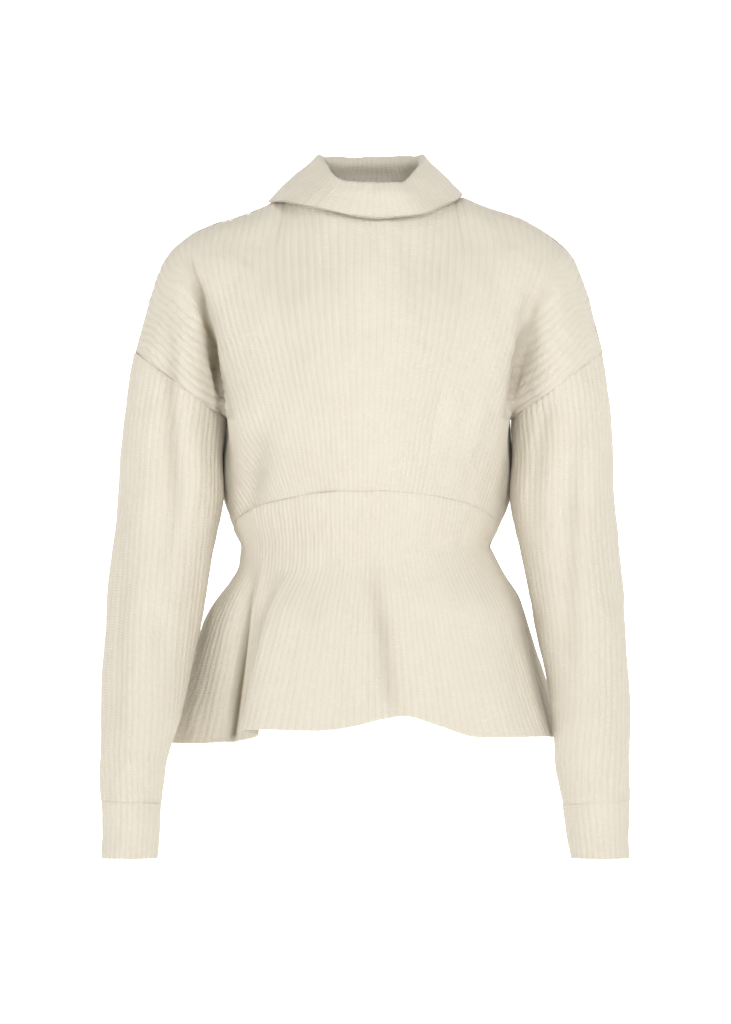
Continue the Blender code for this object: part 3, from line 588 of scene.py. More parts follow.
def smooth(rows, at):
    """A smooth curve through rows whose first column is the position along it."""
    table = np.asarray(rows, dtype=float)
    slopes = np.gradient(table[:, 1:], table[:, 0], axis=0)
    return hermite(table[:, 0], table[:, 1:], slopes, slopes, at)


def smooth_round(rows, length, at):
    """The same for a closed curve that repeats after length."""
    table = np.asarray(rows, dtype=float)
    before = table[-3:].copy()
    before[:, 0] -= length
    after = table[:3].copy()
    after[:, 0] += length
    return smooth(np.vstack((before, table, after)), np.mod(at, length))


def ease(low, high, value):
    """0 below low, 1 above high, smooth between."""
    share = np.clip((np.asarray(value, dtype=float) - low) / (high - low), 0.0, 1.0)
    return share * share * (3 - 2 * share)


def unit(vector):
    """Vectors along the last axis, made one long."""
    vector = np.asarray(vector, dtype=float)
    return vector / np.maximum(np.linalg.norm(vector, axis=-1, keepdims=True), 1e-12)


def along(points, distances):
    """Points at the given shares of a polyline's length."""
    steps = np.linalg.norm(np.diff(points, axis=0), axis=1)
    reached = np.concatenate(((0.0,), np.cumsum(steps)))
    reached /= reached[-1]
    return np.stack([np.interp(distances, reached, column) for column in points.T], axis=-1)


def between(rows, at):
    """Straight lines between the rows of a two-column table."""
    places, values = np.transpose(rows)
    return np.interp(at, places, values)


def lean(points):
    """Points moved by the garment's slight shift to one side and its lower left shoulder."""
    moved = np.array(points, dtype=float)
    high = ease(*SHOULDER_ZONE, moved[..., 2])
    moved[..., 2] -= between(SHOULDER_DROP, moved[..., 0]) * high
    moved[..., 0] += between(SIDE_SHIFT, moved[..., 2])
    return moved


def neckline(angles):
    """Points of the neckline; 0 at the right shoulder, a quarter turn at the back."""
    forward = np.sin(angles)
    depth = np.where(forward > 0, NECK_BACK, NECK_FRONT)
    end_z = np.where(forward > 0, NECK_BACK_Z, NECK_FRONT_Z)
    z = NECK_SIDE_Z + (end_z - NECK_SIDE_Z) * forward**2
    return np.stack((NECK_HALF_WIDTH * np.cos(angles), depth * forward, z), axis=-1)


def oval(half_width, depth, ribs):
    """Points of a quarter of the body's oval, from its middle to its side, at equal ribs."""
    turns = np.linspace(0.0, math.pi / 2, 200)
    power = 2.0 / BODY_SQUARENESS
    x = half_width * np.sin(turns) ** power
    y = depth * np.cos(turns) ** power
    return along(np.column_stack((x, y)), np.asarray(ribs) / HALF_RIBS)


def seam_height(x, half_width):
    """Height of the arched waist seam at x."""
    drop = 1.0 - np.sqrt(np.clip(1.0 - (x / half_width) ** 2, 0.0, 1.0))
    return WAIST_SEAM_Z - WAIST_ARCH * drop


def foot_points(ribs, facing, cut):
    """Points of the bodice's foot; facing is -1 on the front and 1 on the back."""
    half_width, front, back, middle_rise, side_rise, side_back = cut
    depth = front if facing < 0 else back
    x, y = oval(half_width, depth, ribs).T
    share = (x / half_width) ** 2
    rise = middle_rise + (side_rise - middle_rise) * share
    y = facing * y + side_back * share**2
    return np.column_stack((x, y, seam_height(x, half_width) + rise))


def top_points(ribs, facing):
    """Points of the neckline and the shoulder line."""
    turn = math.pi / 2 * (np.minimum(ribs, NECK_RIB) / NECK_RIB) ** NECK_SPREAD
    at_neck = neckline(facing * (math.pi / 2 - turn))
    share = np.clip((ribs - NECK_RIB) / (HALF_RIBS - NECK_RIB), 0.0, 1.0)
    x, z = along(np.array(SHOULDER_LINE), share).T
    on_shoulder = np.stack((x, np.zeros_like(x), z), axis=-1)
    return np.where((ribs <= NECK_RIB)[:, None], at_neck, on_shoulder)


def rib_lines(ribs, facing, rows):
    """Points down ribs of a bodice panel's right half, as rows by ribs."""
    column = 3 if facing < 0 else 4
    knots = [0.0]
    points = [top_points(ribs, facing)]
    for station, course in RIB_COURSE.items():
        table = np.array(course)[:, (0, 1, column, 2)]
        other_side = table[2:0:-1] * (-1, -1, 1, 1)
        knots.append(station)
        points.append(smooth(np.vstack((other_side, table)), ribs))
    knots.extend((BLOUSE_ROW, SEAM_ROW))
    points.append(foot_points(ribs, facing, BLOUSE_FOLD))
    points.append(foot_points(ribs, facing, WAIST_SEAM))
    knots = np.array(knots)
    points = np.array(points)
    slopes = np.gradient(points, knots, axis=0)
    over_shoulder = ease(NECK_RIB - 4, NECK_RIB + 1, ribs)[:, None]
    reach = np.linalg.norm(points[1] - points[0], axis=-1, keepdims=True) / knots[1]
    reach = reach * SHOULDER_FULLNESS
    level_slope = np.array((0.0, facing, 0.0)) * reach
    slopes[0] = slopes[0] * (1 - over_shoulder) + level_slope * over_shoulder
    slopes_in = slopes.copy()
    slopes_out = slopes.copy()
    at_underarm = ease(*UNDERARM_BLEND, ribs)[:, None]
    armhole_slope = np.array((0.0, -facing * ARM_HALF_DEPTH * math.pi, 0.0))
    side_slope = (points[5] - points[4]) / (knots[5] - knots[4])
    slopes_in[4] = slopes[4] * (1 - at_underarm) + armhole_slope * at_underarm
    slopes_out[4] = slopes[4] * (1 - at_underarm) + side_slope * at_underarm
    return hermite(knots, points, slopes_in, slopes_out, rows)


def bodice_form(facing, ribs, rows):
    """Points of a bodice panel, as rows by ribs from the left side to the right."""
    grid = rib_lines(np.abs(ribs), facing, rows)
    grid[..., 0] *= np.where(ribs < 0, -1.0, 1.0)
    return lean(grid)


def waist_round(ribs, cut):
    """x and y of the waist at ribs of the peplum's round."""
    ribs = np.mod(ribs, 4 * HALF_RIBS)
    facing = np.where(ribs <= 2 * HALF_RIBS, -1.0, 1.0)
    from_left = np.where(facing < 0, ribs, 4 * HALF_RIBS - ribs)
    signed = from_left - HALF_RIBS
    front = oval(cut[0], cut[1], np.abs(signed))
    back = oval(cut[0], cut[2], np.abs(signed))
    picked = np.where((facing < 0)[:, None], front, back)
    return np.stack((np.copysign(picked[:, 0], signed), facing * picked[:, 1]), axis=-1)


def peplum_form(ribs, rows):
    """Points of the peplum: row -1 at the waist seam, 0 at the narrow waist, 1 at the hem."""
    seam_xy = waist_round(ribs, WAIST_SEAM)
    seam = lean(np.column_stack((seam_xy, seam_height(seam_xy[:, 0], WAIST_SEAM[0]))))
    narrow = waist_round(ribs, NARROW_WAIST)
    narrow = np.column_stack((narrow, np.full(len(ribs), NARROW_WAIST_Z)))
    hem = smooth_round(HEM_COURSE, 4 * HALF_RIBS, ribs)
    right = ease(*FLARE_BLEND, hem[:, 0])[:, None]
    grid = []
    for row in rows:
        if row < 0:
            share = row + 1.0
            point = seam + (narrow - seam) * share
            point[:, :2] = seam[:, :2] + (narrow[:, :2] - seam[:, :2]) * ease(0.0, 1.0, share)
        else:
            left_out, right_out = smooth(FLARE, row)[0]
            point = narrow + (hem - narrow) * (left_out + (right_out - left_out) * right)
            point[:, 2] = NARROW_WAIST_Z + (hem[:, 2] - NARROW_WAIST_Z) * row
        grid.append(point)
    return np.array(grid)


def tube_form(cuts, side, shares, turns):
    """Points of a sleeve or cuff, rows by columns, and its ribs from the outer line on."""
    table = np.array(cuts)
    steps = np.linalg.norm(np.diff(table[:, :3], axis=0), axis=1)
    reached = np.concatenate(((0.0,), np.cumsum(steps))) / steps.sum()
    table = np.column_stack((reached, table))
    x, y, z, half_width, half_depth, tilt, ribs = smooth(table, shares).T
    change = side * between(SLEEVE_CHANGE, z)
    tilt = np.radians(tilt)
    bend = np.radians(between(SLEEVE_LEAN, z))
    none = np.zeros_like(x)
    outward = np.stack((np.cos(tilt) * side, none, np.sin(tilt)), axis=-1)
    forward = np.stack((none, -np.cos(bend), np.sin(bend)), axis=-1)
    middle = lean(np.stack(((x - change) * side, y, z), axis=-1))
    wide = (half_width + change)[:, None, None] * np.cos(turns)[None, :, None]
    deep = half_depth[:, None, None] * np.sin(turns)[None, :, None]
    grid = middle[:, None] + outward[:, None] * wide + forward[:, None] * deep
    return grid, ribs[:, None] * (turns / math.pi)[None, :]


def collar_form(angles, shares):
    """Points of the collar's visible skin, from the loose edge over the fold to the neckline."""
    course = smooth_round(COLLAR_COURSE, 360.0, np.degrees(angles))
    fold = course[:, :3]
    loose = course[:, 3:]
    base = neckline(angles)
    outward = unit(fold * LEVEL)
    down = np.array((0.0, 0.0, COLLAR_FOLD))
    outer = fold + outward * COLLAR_FOLD - down
    inner = fold - outward * COLLAR_FOLD - down
    stand = base - unit(base * LEVEL) * NECK_INSET + np.array((0.0, 0.0, SEAM_GAP / 2))
    mid_fall = (outer + loose) / 2 + outward * COLLAR_SWELL
    mid_stand = (inner + stand) / 2
    path = np.array((loose, mid_fall, outer, fold, inner, mid_stand, stand))
    knots = np.array(COLLAR_KNOTS)
    slopes = np.gradient(path, knots, axis=0)
    return lean(hermite(knots, path, slopes, slopes, shares))


# ------------------------------------------------------------------ relief of the cloth
def outward_of(grid, closed, like):
    """Outward directions of a grid of points; like is a rough outward direction."""
    down = np.gradient(grid, axis=0)
    across = np.gradient(grid, axis=1)
    if closed:
        edge = grid[:, 1] - grid[:, -2]
        across[:, 0] = edge
        across[:, -1] = edge
    normal = unit(np.cross(across, down))
    if (normal * like).sum() < 0:
        normal = -normal
    return normal


def fold_depth(x, z, folds):
    """How far the cloth sinks at points of the front view."""
    depth = np.zeros_like(x)
    for course in folds:
        course = np.array(course) / FOLD_UNITS
        here = np.zeros_like(x)
        for start, end in zip(course, course[1:]):
            run = end[:2] - start[:2]
            share = ((x - start[0]) * run[0] + (z - start[1]) * run[1]) / (run @ run)
            share = np.clip(share, 0.0, 1.0)
            low_reach, high_reach, deep = (
                start[column] + (end[column] - start[column]) * share for column in (2, 3, 4)
            )
            aside = x - start[0] - run[0] * share
            away = np.hypot(aside, z - start[1] - run[1] * share)
            reach = np.where(aside < 0, low_reach, high_reach)
            sink = deep * np.exp(-((away / reach) ** 2))
            here = np.where(np.abs(sink) > np.abs(here), sink, here)
        depth += here
    return depth


def rib_shape(ribs):
    """Height of the knit at rib positions: round ribs with narrow furrows at whole numbers."""
    return np.abs(np.sin(math.pi * ribs)) ** RIB_ROUNDNESS


def waves(grid, draw, count, size, flatness):
    """Sum of seeded waves about size long, and longer downwards by flatness."""
    total = np.zeros(grid.shape[:2])
    for _ in range(count):
        heading = draw.normal(size=3)
        heading *= np.array((1.0, 1.0, flatness)) / (np.linalg.norm(heading) * size)
        total += np.sin(2 * math.pi * (grid @ heading) + draw.uniform(0.0, 2 * math.pi))
    return total


def uneven(grid, seed, size):
    """Seeded unevenness from about -1 to 1, of patches about size across and longer downwards."""
    total = waves(grid, np.random.default_rng(seed), UNEVEN_WAVES, size, 0.5)
    return total / math.sqrt(UNEVEN_WAVES / 2) / UNEVEN_RANGE


def local_relief(grid):
    """Share of the ribs' rise at points, fuller or flatter in the patches of RIB_PATCHES."""
    share = np.ones(grid.shape[:2])
    for x, z, reach_x, reach_z, more in RIB_PATCHES:
        away = ((grid[..., 0] - x) / reach_x) ** 2 + ((grid[..., 2] - z) / reach_z) ** 2
        share += more * np.exp(-away)
    return np.clip(share, *PATCH_LIMITS)


def wander(grid, seed):
    """Small uneven swells that real knit has along and between its ribs."""
    draw = np.random.default_rng(seed)
    return sum(height * waves(grid, draw, SWELL_WAVES, size, 0.55) for size, height in SWELLS)


def relief(grid, normal, ribs, folds, edges, seed, fade=None):
    """The grid with ribs, folds, swells and dips at its linked edges.

    edges holds distances in metres from each point to the nearest linked edge. How far the
    folds sink at each point comes back too.
    """
    knit = bpy.context.scene.sweater_knit
    near = np.exp(-((edges / SEAM_REACH) ** 2))
    shape = rib_shape(ribs + RIB_SWAY * uneven(grid, seed + 100, SWAY_PATCH))
    fullness = 1.0 + FULLNESS_SPREAD * uneven(grid, seed + 200, FULLNESS_PATCH)
    fullness = fullness * local_relief(grid)
    rise = knit.rib_rise * (shape - RIB_SEAT) * fullness * (1 - SEAM_FLATTENING * near)
    if fade is not None:
        rise = rise * fade
    height = rise - knit.seam_dip * near * (1 - RIB_SPARED * shape) + wander(grid, seed)
    sunk = np.zeros_like(height)
    front, back = folds
    for facing, table in ((-1.0, front), (1.0, back)):
        if table:
            seen = ease(*FOLD_SEEN, normal[..., 1] * facing)
            sunk += fold_depth(grid[..., 0], grid[..., 2], table) * seen * knit.fold_depth
    return grid + normal * (height - sunk)[..., None], sunk


def lengths_down(grid):
    """Distance of each point from the first row, along its column."""
    steps = np.linalg.norm(np.diff(grid, axis=0), axis=-1)
    return np.concatenate((np.zeros((1, grid.shape[1])), np.cumsum(steps, axis=0)))


def crowded_rows(count):
    """Row positions from 0 to 1 that crowd a little towards both ends."""
    share = np.linspace(0.0, 1.0, count)
    return share - END_CROWDING * np.sin(2 * math.pi * share)


def banded_rows(bands):
    """Row positions in bands that each have their own closeness."""
    rows = [np.linspace(*band)[:-1] for band in bands]
    return np.append(np.concatenate(rows), bands[-1][1])


# ------------------------------------------------------------------ meshes
def knit_mesh(name, points, ribs, lengths, sunk, closed, outward):
    """A grid mesh moved to the given points, with a UV map of ribs and stitch rows.

    The crease attribute says how far the folds sink, as a share of CREASE_FULL, and sets how much
    shade the wool paints in the folds. The edges of the cloth are sharp, so the shade of its rim
    stays off its face.
    """
    rows, columns = points.shape[:2]
    bm = bmesh.new()
    bmesh.ops.create_grid(bm, x_segments=columns - 1, y_segments=rows - 1, size=0.5)
    mesh = bpy.data.meshes.new(name)
    bm.to_mesh(mesh)
    bm.free()
    flat = np.empty(len(mesh.vertices) * 3)
    mesh.vertices.foreach_get("co", flat)
    flat = flat.reshape(-1, 3)
    column = np.rint((flat[:, 0] + 0.5) * (columns - 1)).astype(int)
    row = np.rint((0.5 - flat[:, 1]) * (rows - 1)).astype(int)
    mesh.vertices.foreach_set("co", points[row, column].ravel())
    corner = np.empty(len(mesh.loops), dtype=int)
    mesh.loops.foreach_get("vertex_index", corner)
    spread = np.stack((ribs[row, column], lengths[row, column] / STITCH_LENGTH), axis=-1)
    layer = mesh.uv_layers.new(name="knit")
    layer.uv.foreach_set("vector", spread[corner].ravel())
    crease_shade = mesh.attributes.new("crease_shade", "FLOAT", "POINT")
    crease_shade.data.foreach_set("value", np.clip(sunk[row, column] / CREASE_FULL, 0.0, 1.0))
    bm = bmesh.new()
    bm.from_mesh(mesh)
    if closed:
        bmesh.ops.remove_doubles(bm, verts=bm.verts, dist=SAME_POINT)
    bm.normal_update()
    bm.faces.ensure_lookup_table()
    for edge in bm.edges:
        if edge.is_boundary:
            edge.smooth = False
    face = bm.faces[len(bm.faces) // 2]
    nearest = np.argmin(((points - np.array(face.calc_center_median())) ** 2).sum(axis=-1))
    if np.dot(face.normal, outward.reshape(-1, 3)[nearest]) < 0:
        bmesh.ops.reverse_faces(bm, faces=bm.faces)
    bm.to_mesh(mesh)
    bm.free()
    mesh.shade_smooth()
    return mesh


def worn_piece(name, mesh, wool):
    """An object of the mesh, in its wool, that rides on the sweater's one body."""
    piece = bpy.data.objects.new(name, mesh)
    bpy.context.scene.collection.objects.link(piece)
    mesh.materials.append(wool)
    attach(piece, "root")
    return piece


def knit_piece(name, node, points, ribs, lengths, sunk, closed, outward):
    """A cloth object in place of a node: the grid mesh, its thickness and the wool on it."""
    if closed:
        points[:, -1] = points[:, 0]
    mesh = knit_mesh(name, points, ribs, lengths, sunk, closed, outward)
    piece = worn_piece(name, mesh, wool_material("ribbed_wool", True))
    wall = piece.modifiers.new("wall", "SOLIDIFY")
    wall.thickness = bpy.context.scene.sweater_knit.wall
    wall.offset = -1.0
    wall.use_even_offset = False
    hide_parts(node)
    return piece


def chain(name, path, outward, sizes, closed, yarn="linking_yarn"):
    """A linked seam: a thin row of beads that follows path in the groove between two pieces."""
    stand, radius, pitch = sizes
    path = path + outward * stand
    steps = np.linalg.norm(np.diff(path, axis=0), axis=1)
    length = steps.sum()
    reached = np.concatenate(((0.0,), np.cumsum(steps)))
    count = int(round(length / pitch)) * POINTS_A_STITCH
    places = np.linspace(0.0, length, count + 1)
    line = np.stack([np.interp(places, reached, axis) for axis in path.T], axis=-1)
    out = unit(np.stack([np.interp(places, reached, axis) for axis in outward.T], axis=-1))
    ahead = np.gradient(line, axis=0)
    if closed:
        ahead[0] = ahead[-1] = line[1] - line[-2]
    beside = unit(np.cross(ahead, out))
    swell = YARN_NECK + (1 - YARN_NECK) * np.abs(np.sin(math.pi * places / pitch))
    if not closed:
        swell = swell * np.minimum(1.0, np.minimum(places, length - places) / pitch + 0.05)
    turns = np.linspace(0.0, 2 * math.pi, YARN_SIDES + 1)[None, :, None]
    ring = out[:, None] * np.cos(turns) + beside[:, None] * np.sin(turns) * YARN_FLATNESS
    points = line[:, None] + ring * (radius * swell)[:, None, None]
    sides = np.repeat(turns[..., 0] / (2 * math.pi), count + 1, axis=0)
    lengths = np.repeat(places[:, None], YARN_SIDES + 1, axis=1)
    mesh = knit_mesh(name, points, sides, lengths, np.zeros_like(lengths), True, ring)
    bm = bmesh.new()
    bm.from_mesh(mesh)
    bmesh.ops.remove_doubles(bm, verts=bm.verts, dist=SAME_POINT)
    bmesh.ops.holes_fill(bm, edges=[edge for edge in bm.edges if edge.is_boundary], sides=0)
    bmesh.ops.recalc_face_normals(bm, faces=bm.faces)
    bm.to_mesh(mesh)
    bm.free()
    mesh.shade_smooth()
    return worn_piece(name, mesh, wool_material(yarn, False, YARN_PAINTED_SHADE[yarn]))


# ------------------------------------------------------------------ materials
def fill(node, values):
    """Set a node's inputs by their names."""
    for key, value in values.items():
        node.inputs[key].default_value = value


def wool_material(name, stitched, deep=0.0):
    """Cream wool: fibre, stitches that climb each rib, and painted shade in the furrows and in
    deep folds.

    deep is the share of the crease shade colour painted on a yarn that lies in the shade of a
    seam or an edge.
    """
    known = bpy.data.materials.get(name)
    if known:
        return known
    colours = bpy.context.scene.sweater_colours
    material = bpy.data.materials.new(name)
    material.use_nodes = True
    nodes = material.node_tree.nodes
    links = material.node_tree.links
    shader = nodes["Principled BSDF"]
    fill(shader, WOOL_SHADER)

    def add(kind, **values):
        node = nodes.new(kind)
        for key, value in values.items():
            setattr(node, key, value)
        return node

    def maths(operation, first, second=None):
        node = add("ShaderNodeMath", operation=operation)
        for socket, value in zip(node.inputs, (first, second)):
            if isinstance(value, (int, float)):
                socket.default_value = value
            elif value is not None:
                links.new(value, socket)
        return node.outputs[0]

    place = add("ShaderNodeTexCoord")

    def noise(scale, detail):
        node = add("ShaderNodeTexNoise")
        fill(node, {"Scale": scale, "Detail": detail})
        links.new(place.outputs["Object"], node.inputs["Vector"])
        return node.outputs["Fac"]

    cloud = noise(*CLOUD_NOISE)
    fibre = noise(*FIBRE_NOISE)
    # Painted shade in the folds: the deeper a fold sinks, the more the colour turns to the crease
    # shade colour.
    fold = add("ShaderNodeAttribute", attribute_name="crease_shade")
    depth = maths("MULTIPLY", maths("POWER", fold.outputs["Fac"], CREASE_POWER), CREASE_MOST)
    # Painted shade on a yarn that lies in the shade of the waist seam or under the collar's edge.
    depth = maths("ADD", depth, deep)
    # The wool's colour turns towards the furrow colour by the painted furrow shade, by random
    # patches and on the stitches.
    shade_and_tone = add("ShaderNodeMix", data_type="RGBA")
    fill(shade_and_tone, {"A": (*colours.wool, 1.0), "B": (*colours.furrow_shade, 1.0)})
    height = maths("MULTIPLY", fibre, BUMP_HEIGHTS["fibre"])
    if stitched:
        rows = add("ShaderNodeUVMap", uv_map="knit")
        split = add("ShaderNodeSeparateXYZ")
        links.new(rows.outputs["UV"], split.inputs[0])
        # Painted shade in the furrows between the ribs, narrow and strongest in each furrow's
        # middle.
        from_top = maths("ABSOLUTE", maths("SUBTRACT", maths("FRACT", split.outputs["X"]), 0.5))
        aside = maths("MULTIPLY", from_top, 2.0)
        furrow_shade = maths("POWER", aside, FURROW_POWER)
        climb = maths("ADD", split.outputs["Y"], maths("MULTIPLY", aside, STITCH_SLANT))
        loop = maths("SINE", maths("MULTIPLY", climb, 2 * math.pi))
        height = maths("ADD", height, maths("MULTIPLY", loop, BUMP_HEIGHTS["stitch"]))
        patch = maths("MULTIPLY", maths("SUBTRACT", cloud, 0.5), PATCH_TONE)
        share = maths("ADD", maths("MULTIPLY", furrow_shade, FURROW_SHADE_SHARE), patch)
        share = maths("ADD", share, maths("MULTIPLY", loop, STITCH_TONE))
    else:
        share = maths("ADD", maths("MULTIPLY", cloud, YARN_TONE[0]), YARN_TONE[1])
    limit = add("ShaderNodeClamp")
    links.new(share, limit.inputs["Value"])
    links.new(limit.outputs[0], shade_and_tone.inputs["Factor"])
    shaded = add("ShaderNodeMix", data_type="RGBA")
    shaded.inputs["B"].default_value = (*colours.crease_shade, 1.0)
    links.new(depth, shaded.inputs["Factor"])
    links.new(shade_and_tone.outputs["Result"], shaded.inputs["A"])
    links.new(shaded.outputs["Result"], shader.inputs["Base Color"])
    bump = add("ShaderNodeBump")
    fill(bump, BUMP)
    links.new(height, bump.inputs["Height"])
    links.new(bump.outputs["Normal"], shader.inputs["Normal"])
    return material


# ------------------------------------------------------------------ pieces
def bodice_ribs(grid, ribs, rows):
    """Rib number at each point of a panel, and how much of the ribs' relief it keeps."""
    places = np.abs(ribs)[None, :]
    level = rows[:, None]
    x = np.abs(grid[..., 0]) - CAP_CREASE_X
    height = grid[..., 2] - CAP_SLOPE * x - CAP_BEND * x * x
    cap = between(CAP_RIBS, height)
    share = ease(*CAP_START, places) * ease(*CAP_ROWS, level) * (1.0 - ease(*CAP_FOOT, level))
    number = places + (cap - places) * share
    crossing = 4.0 * share * (1.0 - share) * np.minimum(1.0, np.abs(cap - places) / 2.0)
    crossing = crossing * ease(*CAP_ROWS, level)
    low = ease(*SLANT_ROWS, level)
    way = np.clip((places - SLANT_FIRST) / (HALF_RIBS - SLANT_FIRST), 0.0, 1.0)
    slant = SLANT * low * np.sin(math.pi * way**SLANT_SKEW)
    number = number + np.where(ribs < 0, slant, 0.0)
    return np.where(ribs < 0, -number, number), 1.0 - crossing


def build_bodice(name, node, facing, folds, seed):
    """The front or the back bodice panel."""
    ribs = np.linspace(-HALF_RIBS, HALF_RIBS, 2 * HALF_RIBS * BODICE_COLUMNS_A_RIB + 1)
    rows = banded_rows(BODICE_BANDS)
    grid = bodice_form(facing, ribs, rows)
    normal = outward_of(grid, False, np.array((0.0, facing, 0.0)))
    lengths = lengths_down(grid)
    to_foot = lengths[-1] - lengths
    places = np.broadcast_to(np.abs(ribs), lengths.shape)
    edges = np.minimum(np.minimum(lengths, to_foot), (HALF_RIBS - places) * RIB_WIDTH)
    number, fade = bodice_ribs(grid, ribs, rows)
    first, last, lost, reach = UNDERARM_FADE
    at_underarm = np.exp(-((rows[:, None] - 1.0) / reach) ** 2)
    fade = fade * (1.0 - lost * ease(first, last, places) * at_underarm)
    points, sunk = relief(grid, normal, number, folds, edges, seed, fade)
    points[0, np.abs(ribs) >= NECK_RIB, 1] = facing * SEAM_GAP / 2
    points[-1, :, 2] += SEAM_GAP / 2
    return knit_piece(name, node, points, number, lengths, sunk, False, normal)


def build_peplum(name, node, first_rib, folds, seed):
    """The front or the back of the peplum with its half of the waistband."""
    last_rib = first_rib + 2 * HALF_RIBS
    ribs = np.linspace(first_rib, last_rib, 2 * HALF_RIBS * COLUMNS_A_RIB + 1)
    kept = np.clip(ribs, first_rib + SIDE_INSET, last_rib - SIDE_INSET)
    grid = peplum_form(kept, banded_rows(PEPLUM_BANDS))
    normal = outward_of(grid, False, unit(grid * LEVEL))
    lengths = lengths_down(grid)
    side = np.minimum(ribs - first_rib, last_rib - ribs) * RIB_WIDTH
    edges = np.minimum(lengths, np.broadcast_to(side, lengths.shape))
    number = np.broadcast_to(ribs, lengths.shape)
    points, sunk = relief(grid, normal, number, folds, edges, seed)
    points[0, :, 2] -= SEAM_GAP / 2
    return knit_piece(name, node, points, number, lengths, sunk, False, normal)


def build_tube(name, node, cuts, side, size, folds, seed, linked_foot):
    """A sleeve or a cuff; side is 1 at +X, and size is its count of rows and columns."""
    row_count, column_count = size
    turns = np.linspace(-math.pi, math.pi, column_count + 1)
    grid, ribs = tube_form(cuts, side, crowded_rows(row_count), turns)
    middle = grid[:, :-1].mean(axis=1, keepdims=True)
    normal = outward_of(grid, True, grid - middle)
    lengths = lengths_down(grid)
    underarm = (ribs[:, -1:] - np.abs(ribs)) * RIB_WIDTH + UNDERARM_SEAM_SHIFT
    edges = np.minimum(lengths, underarm)
    if linked_foot:
        edges = np.minimum(edges, lengths[-1] - lengths)
    inner = ease(*INNER_ARM, np.abs(turns) / math.pi)[None, :]
    fade = 1.0 - inner * (1.0 - ease(0.0, INNER_ARM_DEPTH, lengths))
    points, sunk = relief(grid, normal, ribs, folds, edges, seed, fade)
    return knit_piece(name, node, points, ribs, lengths, sunk, True, normal)


def build_collar(name, node, seed):
    """The funnel collar: one tube that stands on the neckline and folds outwards."""
    count = COLLAR_RIBS * COLUMNS_A_RIB
    angles = np.linspace(0.0, 2 * math.pi, count + 1)
    shares = np.linspace(0.0, 1.0, COLLAR_ROW_COUNT)
    grid = collar_form(angles, shares)
    spine = grid[:, :-1].mean(axis=1, keepdims=True)
    like = np.where(shares[:, None, None] < 0.5, 1.0, -1.0) * unit(grid - spine)
    normal = outward_of(grid, True, like)
    lengths = lengths_down(grid)
    ribs = np.broadcast_to(np.linspace(0.0, COLLAR_RIBS, count + 1), lengths.shape)
    outside, inside_more = COLLAR_RELIEF
    fade = (outside + inside_more * ease(*COLLAR_RELIEF_ROWS, shares))[:, None]
    to_foot = lengths[-1] - lengths
    points, sunk = relief(grid, normal, ribs, (COLLAR_FOLDS, None), to_foot, seed, fade)
    return knit_piece(name, node, points, ribs, lengths, sunk, True, normal)


# ------------------------------------------------------------------ operators
class SWEATER_OT_bodice(bpy.types.Operator):
    """Knit the front and the back bodice panels"""

    bl_idname = "sweater.bodice"
    bl_label = "Bodice"

    def execute(self, context):
        front = build_bodice("bodice_front", "front_bodice", -1, (FRONT_FOLDS, None), 11)
        back = build_bodice("bodice_back", "back_bodice", 1, (None, BACK_FOLDS), 12)
        return {"FINISHED"}


class SWEATER_OT_sleeves(bpy.types.Operator):
    """Knit the two full sleeves"""

    bl_idname = "sweater.sleeves"
    bl_label = "Sleeves"

    def execute(self, context):
        for name, node, side, folds, seed in (
            ("sleeve_left", "left_sleeve", -1, LEFT_SLEEVE_FOLDS, 21),
            ("sleeve_right", "right_sleeve", 1, RIGHT_SLEEVE_FOLDS, 22),
        ):
            cuts, both = SLEEVE_CUTS, (folds, folds)
            piece = build_tube(name, node, cuts, side, SLEEVE_GRID, both, seed, True)
        return {"FINISHED"}


class SWEATER_OT_cuffs(bpy.types.Operator):
    """Knit the ribbed cuffs"""

    bl_idname = "sweater.cuffs"
    bl_label = "Cuffs"

    def execute(self, context):
        for name, node, side, seed in (
            ("cuff_left", "left_cuff", -1, 31),
            ("cuff_right", "right_cuff", 1, 32),
        ):
            cuts, none = CUFF_CUTS, (None, None)
            piece = build_tube(name, node, cuts, side, CUFF_GRID, none, seed, False)
        return {"FINISHED"}


class SWEATER_OT_collar(bpy.types.Operator):
    """Knit the folded funnel collar"""

    bl_idname = "sweater.collar"
    bl_label = "Collar"

    def execute(self, context):
        piece = build_collar("collar_funnel", "collar", 15)
        return {"FINISHED"}


class SWEATER_OT_peplum(bpy.types.Operator):
    """Knit the peplum with its fitted waistband"""

    bl_idname = "sweater.peplum"
    bl_label = "Peplum"

    def execute(self, context):
        folds, behind = (PEPLUM_FOLDS, None), (None, PEPLUM_BACK_FOLDS)
        front = build_peplum("peplum_front_cloth", "peplum_front", 0, folds, 41)
        back = build_peplum("peplum_back_cloth", "peplum_back", 2 * HALF_RIBS, behind, 42)
        return {"FINISHED"}


